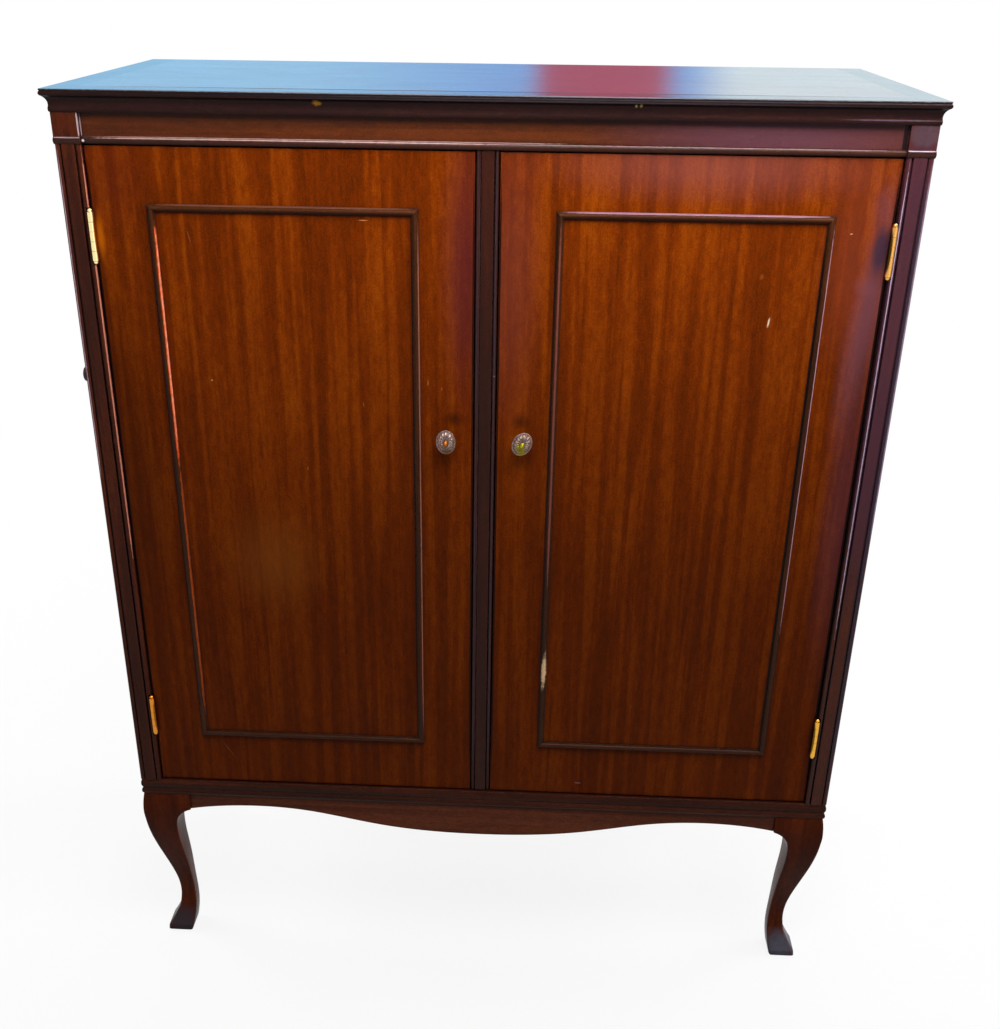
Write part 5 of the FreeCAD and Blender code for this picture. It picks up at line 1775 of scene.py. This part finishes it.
@dataclass
class Studio:
    """Camera, lamps, world and floor.

    Attributes:
        eye: the camera's place, m.
        pitch, roll, heading: its angles, radians.
        focal: focal length in picture heights.
        shift: picture shift, as Blender takes it.
        soft: colour of the light from all round.
        soft_strength: its strength.
        warm: the reddish thing that the polish mirrors right of the middle.
        warm_share: how much of its colour shows.
        sky: what the polish mirrors over the horizon behind, from left to right.
        glow: the floor's own light, near the object and far from it.
        floor_shade: the floor's colour for the rays that see it white.
        floor_tones: its two colours for the others.
        lamps: the lamps.
    """

    CLIPS = (0.05, 200.0)  # nearest and farthest that the camera sees, m
    BEHIND = (0.20, 0.60)  # directions, as parts of a unit vector, where the sky behind starts
    OVERHEAD = (0.85, 0.55)
    SKY_LEFT, SKY_RIGHT = (-0.20, 0.0), (0.095, 0.145)
    WARM_START, WARM_END = (-0.018, 0.006), (0.104, 0.078)
    GLOW_SPAN = (0.8, 2.6)  # distances between which the floor's own light grows, m
    PAPER = (60.0, 2.0, 0.5)  # scale, octaves and their weight of the floor's grains
    FLOOR_REACH = 70.0
    FLOOR_STEPS = 8

    eye: Place = (0.062346, -1.715903, 1.376522)
    pitch: float = 0.473
    roll: float = 0.010
    heading: float = -0.048
    focal: float = 1255.615 / 1029
    shift: tuple[float, float] = (25 / 1029, 85.5 / 1029)
    soft: Colour = (0.95, 0.97, 1.0)
    soft_strength: float = 0.07
    warm: Colour = (0.47, 0.085, 0.12)
    warm_share: float = 0.92
    sky: tuple[Colour, ...] = ((0.37, 0.70, 1.0), (0.24, 0.48, 0.90), (0.78, 0.93, 1.0))
    glow: tuple[float, float] = (0.86, 1.0)
    floor_shade: Colour = tone(118, 118, 118)
    floor_tones: tuple[Colour, Colour] = (tone(232, 232, 232), tone(240, 240, 240))
    lamps: tuple[Lamp, ...] = (
        Lamp("key", (0.46, -0.78, 1.97), (0.14, -0.21, 1.15), (1.8, 0.5), 27.0),
        Lamp("right_window", (1.75, -2.6, 0.95), (0.2, -0.2, 0.9), (0.7, 1.4), 3.5,
             (0.86, 0.86, 1.0)),
        Lamp("left_side", (-3.0, 0.9, 2.0), (-0.3, 0.0, 0.6), (1.6, 1.6), 70.0, glossy=False),
        Lamp("right_side", (3.0, 0.9, 2.0), (0.3, 0.0, 0.6), (1.6, 1.6), 70.0, glossy=False),
        Lamp("rear", (0.0, 3.4, 2.6), (0.0, 0.0, 0.5), (2.4, 1.4), 80.0, glossy=False),
    )

    def camera(self) -> None:
        """Puts the camera into the scene as its own."""
        level = Vector((math.cos(self.heading), -math.sin(self.heading), 0.0))
        flat = Vector((math.sin(self.heading), math.cos(self.heading), 0.0))
        ahead = flat * math.cos(self.pitch) - Vector((0.0, 0.0, math.sin(self.pitch)))
        above = level.cross(ahead)
        right = math.cos(self.roll) * level + math.sin(self.roll) * above
        up = -math.sin(self.roll) * level + math.cos(self.roll) * above
        data = bpy.data.cameras.new("camera")
        data.sensor_fit = "AUTO"
        data.sensor_width = 36.0
        data.lens = self.focal * data.sensor_width
        data.shift_x, data.shift_y = self.shift
        data.clip_start, data.clip_end = self.CLIPS
        made = placed("camera", data)
        turn = Matrix((right, up, -ahead)).transposed().to_4x4()
        made.matrix_world = Matrix.Translation(self.eye) @ turn
        bpy.context.scene.camera = made

    def shown(self, graph: Graph) -> Socket:
        """1 for the rays that see the backdrop as white.

        Args:
            graph: the tree that it is added to.

        Returns:
            The value's socket.
        """
        path = graph.node("ShaderNodeLightPath").outputs
        seen = graph.math("MAXIMUM", path["Is Camera Ray"], path["Is Glossy Ray"])
        return graph.math("MAXIMUM", seen, path["Is Transmission Ray"])

    def mirrored(self, graph: Graph) -> Socket:
        """The backdrop's colour: white, but for what polish mirrors over the horizon behind.

        Args:
            graph: the world's tree.

        Returns:
            The colour's socket.
        """
        toward = graph.node("ShaderNodeTexCoord").outputs["Generated"]
        across, ahead, above = graph.parts(toward)
        behind = graph.times(graph.ease(ahead, *self.BEHIND), graph.ease(above, *self.OVERHEAD))
        straight = graph.node("ShaderNodeLightPath").outputs["Is Camera Ray"]
        behind = graph.times(behind, graph.math("SUBTRACT", 1.0, straight))
        left, middle, right = self.sky
        sky = graph.blend(graph.ease(across, *self.SKY_LEFT), left, middle)
        sky = graph.blend(graph.ease(across, *self.SKY_RIGHT), sky, right)
        band = (graph.ease(across, *span) for span in (self.WARM_START, self.WARM_END))
        band = graph.times(*band)
        sky = graph.blend(graph.times(band, self.warm_share), sky, self.warm)
        return graph.blend(behind, (1.0, 1.0, 1.0), sky)

    def world(self) -> None:
        """Soft grey light, and the backdrop for the rays that see one."""
        world = bpy.data.worlds.new("studio")
        bpy.context.scene.world = world
        world.use_nodes = True
        graph = Graph(world.node_tree)
        graph.tree.nodes.clear()
        soft, white = (
            graph.node("ShaderNodeBackground", {"Color": colour, "Strength": strength}).outputs[0]
            for colour, strength in ((self.soft, self.soft_strength), (self.mirrored(graph), 1.0))
        )
        mixed = graph.node("ShaderNodeMixShader", {0: self.shown(graph), 1: soft, 2: white})
        graph.node("ShaderNodeOutputWorld", {"Surface": mixed.outputs[0]})

    def floor(self) -> None:
        """Pale floor that keeps the object's shadow."""
        plane = bmesh.new()
        steps = self.FLOOR_STEPS
        bmesh.ops.create_grid(plane, x_segments=steps, y_segments=steps, size=self.FLOOR_REACH)
        mesh = bpy.data.meshes.new("studio_floor")
        plane.to_mesh(mesh)
        plane.free()
        recipe = Recipe("studio_floor")
        recipe.tree.nodes.remove(recipe.shader)
        seen = self.shown(recipe)
        pale = recipe.blend(recipe.noise(recipe.place, *self.PAPER), *self.floor_tones)
        paper = recipe.node("ShaderNodeBsdfDiffuse", {
            "Color": recipe.blend(seen, self.floor_shade, pale),
        })
        glow = recipe.node("ShaderNodeEmission", {"Color": (1.0, 1.0, 1.0), "Strength": 1.0})
        far = recipe.measure("LENGTH", recipe.place)
        share = recipe.ease(far, *self.GLOW_SPAN, *self.glow)
        mixed = recipe.node("ShaderNodeMixShader", {
            0: recipe.times(seen, share), 1: paper.outputs[0], 2: glow.outputs[0],
        })
        recipe.feed(recipe.output.inputs["Surface"], mixed.outputs[0])
        mesh.materials.append(recipe.material)
        made = placed("studio_floor", mesh)

    def build(self) -> None:
        """Sets the stage."""
        bpy.context.scene.view_settings.view_transform = "Standard"
        self.camera()
        self.world()
        self.floor()
        for lamp in self.lamps:
            lamp.build()


def main() -> None:
    """Builds every sub-assembly in order."""
    logging.basicConfig(level=logging.INFO, format="%(name)s: %(message)s")
    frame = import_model()
    Carcase(frame).build()
    Top(frame).build()
    for side in Side:
        Door(frame, side).build()
    HingeSet(frame).build()
    Knob(frame, Side.LEFT, 4.0).build()
    Knob(frame, Side.RIGHT, 26.0).build()
    Base(frame).build()
    Interior(frame).build()
    Studio().build()


if __name__ == "__main__":
    main()
